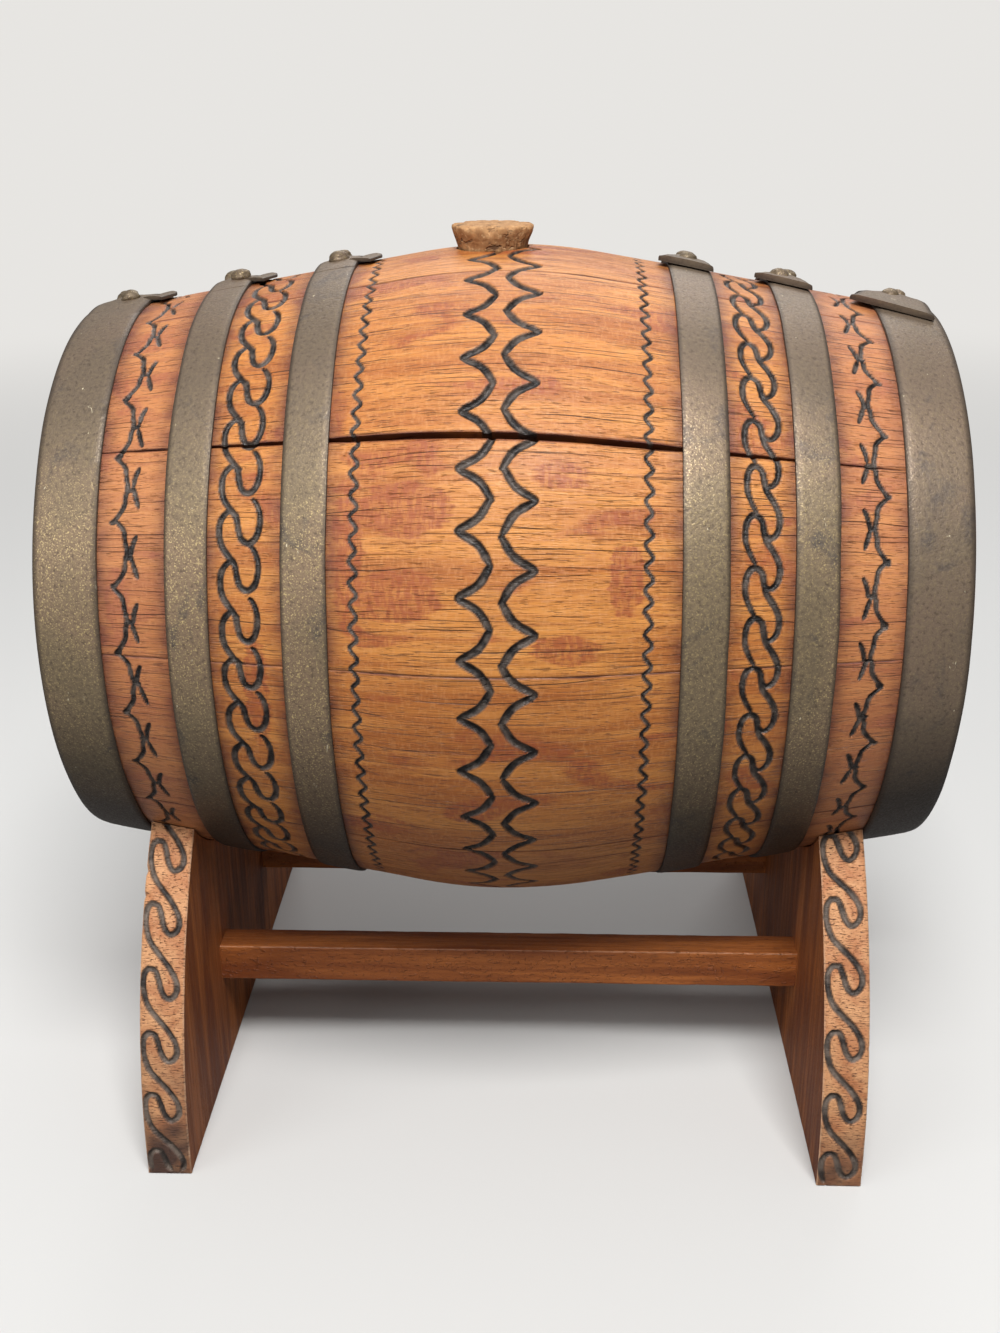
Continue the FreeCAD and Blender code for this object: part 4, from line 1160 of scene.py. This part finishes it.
def make_board(side):
    """One board in layers across its thickness, with the scroll cut into both long edges."""
    facing = 1 if side == "right" else -1
    inset = np.array([0, 0.15, EDGE_ROUND])
    inner_layers = np.arange(0.8, BOARD_THICKNESS - 0.7, FINE_STEP)
    layers = np.concatenate([inset, inner_layers, BOARD_THICKNESS - inset[::-1]])
    low_x = BOARD_INSIDE if side == "right" else -BOARD_INSIDE - BOARD_THICKNESS
    length = FOOT_HEIGHT + EDGE_RADIUS * edge_end(float(skin(low_x)) + CRADLE_PLAY)
    cut, burn = engrave(layers, np.linspace(0, 1, EDGE_POINTS) * length, scroll_marks(side))
    stain_reach, stain_strength = FOOT_STAINS[side]
    loops = []
    data = {key: [] for key in ("face", "burn", "endgrain", "stain", "worn")}
    for row, depth in enumerate(layers):
        x = low_x + depth
        front, cradle, back, sole, normal, s = board_loop(float(skin(x)) + CRADLE_PLAY)
        gap = min(depth, BOARD_THICKNESS - depth)
        round_off = EDGE_ROUND * max(0.0, 1 - gap / EDGE_ROUND) ** 1.6
        ragged = 0.10 * ripple(s, 3.0 + depth * 0.2 + 10 * facing, 2.6) - chips(side, depth, s)
        push = (ragged - round_off - cut[:, row]) * (0.3 + 0.7 * unit(np.minimum(s, s[-1] - s) / 0.8))
        front = front + normal * push[:, None]
        back = back - normal[::-1] * np.array([-1, 1]) * (round_off + cut[::-1, row])[:, None]
        sole = sole + np.array([0, 0.4]) * round_off
        cradle = cradle - np.array([0, 0.5]) * round_off
        loop = np.concatenate([front, cradle, back, sole])
        loops.append(np.column_stack([np.full(len(loop), x + MIDDLE), loop]))

        seat, under, edge = np.zeros(len(cradle)), np.zeros(len(sole)), np.zeros(EDGE_POINTS)
        across = np.concatenate([s, seat + s[-1], s[::-1] + 200, under])
        data["face"].append(np.stack([np.full(len(loop), depth + 40 * facing), across, 0 * across], 1))
        foot = fade(s, stain_reach) * (0.55 + 0.7 * ripple(s, 8 + depth / 9, 5)) * stain_strength
        wear = unit((0.7 if gap < 0.3 else 0.0) * (0.6 + 0.6 * ripple(s, 15 + depth, 3.0)))
        for key, going_up, on_seat, going_down in (
                ("burn", burn[:, row], 0, burn[::-1, row]), ("endgrain", 1, 0, 1),
                ("stain", unit(foot), 0.5, 0), ("worn", wear, 0, wear[::-1])):
            data[key].append(np.concatenate([edge + going_up, seat + on_seat, edge + going_down, under]))
    spots = np.concatenate(loops)
    data = {key: np.concatenate(rows) for key, rows in data.items()}
    data["grain"] = board_grain(spots, facing)
    faces = grid_faces(len(loops), len(loops[0]), close=True)
    build(f"carved_board_{side}", spots * MM, [faces], RACK, "rack", [f"rack_board_{side}"],
          data, 50)
    board_face(f"board_face_{side}_low", loops[0][::-1], facing)
    board_face(f"board_face_{side}_high", loops[-1], facing)


def chips(side, depth, s):
    """How deep a board's outer corner is broken off, at one layer and each distance up the edge."""
    near = fade(depth, 2.2) if side == "left" else fade(BOARD_THICKNESS - depth, 0.7)
    return near * sum(deep * fade(np.abs(s - up), half) for up, half, deep in CHIPS[side])


def board_face(name, loop, facing):
    """A board's flat side, with its own points so that its edge stays crisp."""
    data = {"grain": board_grain(loop, facing), "face": loop}
    data.update({key: np.zeros(len(loop)) for key in ("burn", "endgrain", "stain", "worn")})
    build(name, loop * MM, [[np.arange(len(loop))]], RACK, "rack", (), data)


def make_stretchers():
    """The two bars between the boards, let into them at both ends."""
    for side, sign in (("front", -1), ("back", 1)):
        rounded_bar(f"housed_stretcher_{side}", (MIDDLE, sign * STRETCHER_OUT, STRETCHER_HEIGHT),
                    STRETCHER_HALF, 0.7, RACK, "rack", [f"stretcher_{side}"], 0.12)


marks = keg_marks()
for index in range(10):
    make_stave(index, marks)
make_hole_wall()
for number, (side, kind, low, high) in enumerate(HOOPS):
    make_hoop(side, kind, low, high, 11.0 * number + 3)
    make_rivets(side, kind, low, high)
make_cork()
for side in ("left", "right"):
    make_head(side)
make_tap()
for side in ("left", "right"):
    make_board(side)
make_stretchers()
for node, material in (("stretcher_nails", STEEL), ("head_left_dowels", HEAD), ("head_right_dowels", HEAD)):
    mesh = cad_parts[node].data
    mesh.materials.clear()
    mesh.materials.append(material)


# Floor, light and camera

BACKDROP = (0.80, 0.785, 0.76, 1)
SOFT_LIGHT = (0.90, 0.92, 0.95, 1)
FLOOR_HALF = 4.0
FLOOR_DROP = 0.0002
KEG_MIDDLE = (0, 0, 0.15)
# Area lights: place, size and power.
LIGHTS = {"key_light": ((0.08, -0.66, 1.2), (0.55, 0.45), 20),
          "fill_light": ((-0.9, -0.8, 0.7), (0.8, 0.8), 4),
          "back_light": ((0.1, 0.9, 1.0), (1.0, 0.6), 6)}
CAMERA_PLACE = (0.0027, -0.4131, 0.2800)
CAMERA_PITCH = math.radians(21.78)
CAMERA_YAW = math.radians(2.09)
CAMERA_ROLL = math.radians(-0.36)
FOCAL_PIXELS = 1480.0
PHOTO_HEIGHT = 1333.0
SENSOR = 36.0


def make_floor():
    """A pale floor that the camera sees fade into the backdrop with distance."""
    mesh = bpy.data.meshes.new("floor")
    corners = [(x * FLOOR_HALF, y * FLOOR_HALF, 0) for x, y in ((-1, -1), (1, -1), (1, 1), (-1, 1))]
    mesh.from_pydata(corners, [], [(0, 1, 2, 3)])
    paint = Paint("pale_floor")
    seen = paint.node("LightPath").outputs["Is Camera Ray"]
    paint.feed(paint.shader.inputs["Base Color"], paint.mix(seen, (0.20, 0.20, 0.20), (0.64, 0.635, 0.62)))
    paint.shader.inputs["Roughness"].default_value = 0.9
    paint.shader.inputs["Specular IOR Level"].default_value = 0.2
    reach = paint.node("VectorMath", {0: paint.place("object")}, operation="LENGTH").outputs["Value"]
    fading = paint.times(seen, paint.band(reach, 0.35, 1.5))
    glow = paint.node("Emission", {"Color": BACKDROP, "Strength": 1.0}).outputs[0]
    blend = paint.node("MixShader", {0: fading, 1: paint.shader.outputs[0], 2: glow}).outputs[0]
    paint.feed(paint.tree.nodes["Material Output"].inputs["Surface"], blend)
    mesh.materials.append(paint.material)
    floor = add_object("floor", mesh)
    floor.location.z = -FLOOR_DROP


def area_light(name, place, size, power):
    """A rectangular lamp that faces the keg."""
    lamp = bpy.data.lights.new(name, "AREA")
    lamp.shape = "RECTANGLE"
    lamp.size, lamp.size_y = size
    lamp.energy = power
    item = add_object(name, lamp)
    item.location = place
    item.rotation_euler = (Vector(KEG_MIDDLE) - Vector(place)).to_track_quat("-Z", "Y").to_euler()


def make_world():
    """Soft light from all round. The camera sees the plain backdrop instead."""
    world = bpy.data.worlds.new("studio")
    world.use_nodes = True
    tree = world.node_tree
    soft = tree.nodes["Background"]
    backdrop = tree.nodes.new("ShaderNodeBackground")
    for item, color, strength in ((soft, SOFT_LIGHT, 0.23), (backdrop, BACKDROP, 1.0)):
        item.inputs["Color"].default_value = color
        item.inputs["Strength"].default_value = strength
    paths = tree.nodes.new("ShaderNodeLightPath")
    choose = tree.nodes.new("ShaderNodeMixShader")
    sources = (paths.outputs["Is Camera Ray"], soft.outputs[0], backdrop.outputs[0])
    for source, socket in zip(sources, choose.inputs):
        tree.links.new(source, socket)
    tree.links.new(choose.outputs[0], tree.nodes["World Output"].inputs["Surface"])
    bpy.context.scene.world = world


def make_camera():
    """The photograph's camera, fitted to the keg and the rack."""
    lens = bpy.data.cameras.new("photo_camera")
    lens.sensor_width = SENSOR
    lens.sensor_fit = "AUTO"
    lens.lens = FOCAL_PIXELS / PHOTO_HEIGHT * SENSOR
    lens.clip_start = 0.01
    item = add_object("photo_camera", lens)
    level = math.cos(CAMERA_PITCH)
    forward = Vector((-math.sin(CAMERA_YAW) * level, math.cos(CAMERA_YAW) * level, -math.sin(CAMERA_PITCH)))
    right = Vector((math.cos(CAMERA_YAW), math.sin(CAMERA_YAW), 0))
    up = right.cross(forward)
    turned_right = math.cos(CAMERA_ROLL) * right + math.sin(CAMERA_ROLL) * up
    turned_up = -math.sin(CAMERA_ROLL) * right + math.cos(CAMERA_ROLL) * up
    matrix = Matrix((turned_right, turned_up, -forward)).transposed().to_4x4()
    matrix.translation = CAMERA_PLACE
    item.matrix_world = matrix
    bpy.context.scene.camera = item


make_floor()
for name, (place, size, power) in LIGHTS.items():
    area_light(name, place, size, power)
make_world()
make_camera()
bpy.context.scene.view_settings.view_transform = "Standard"
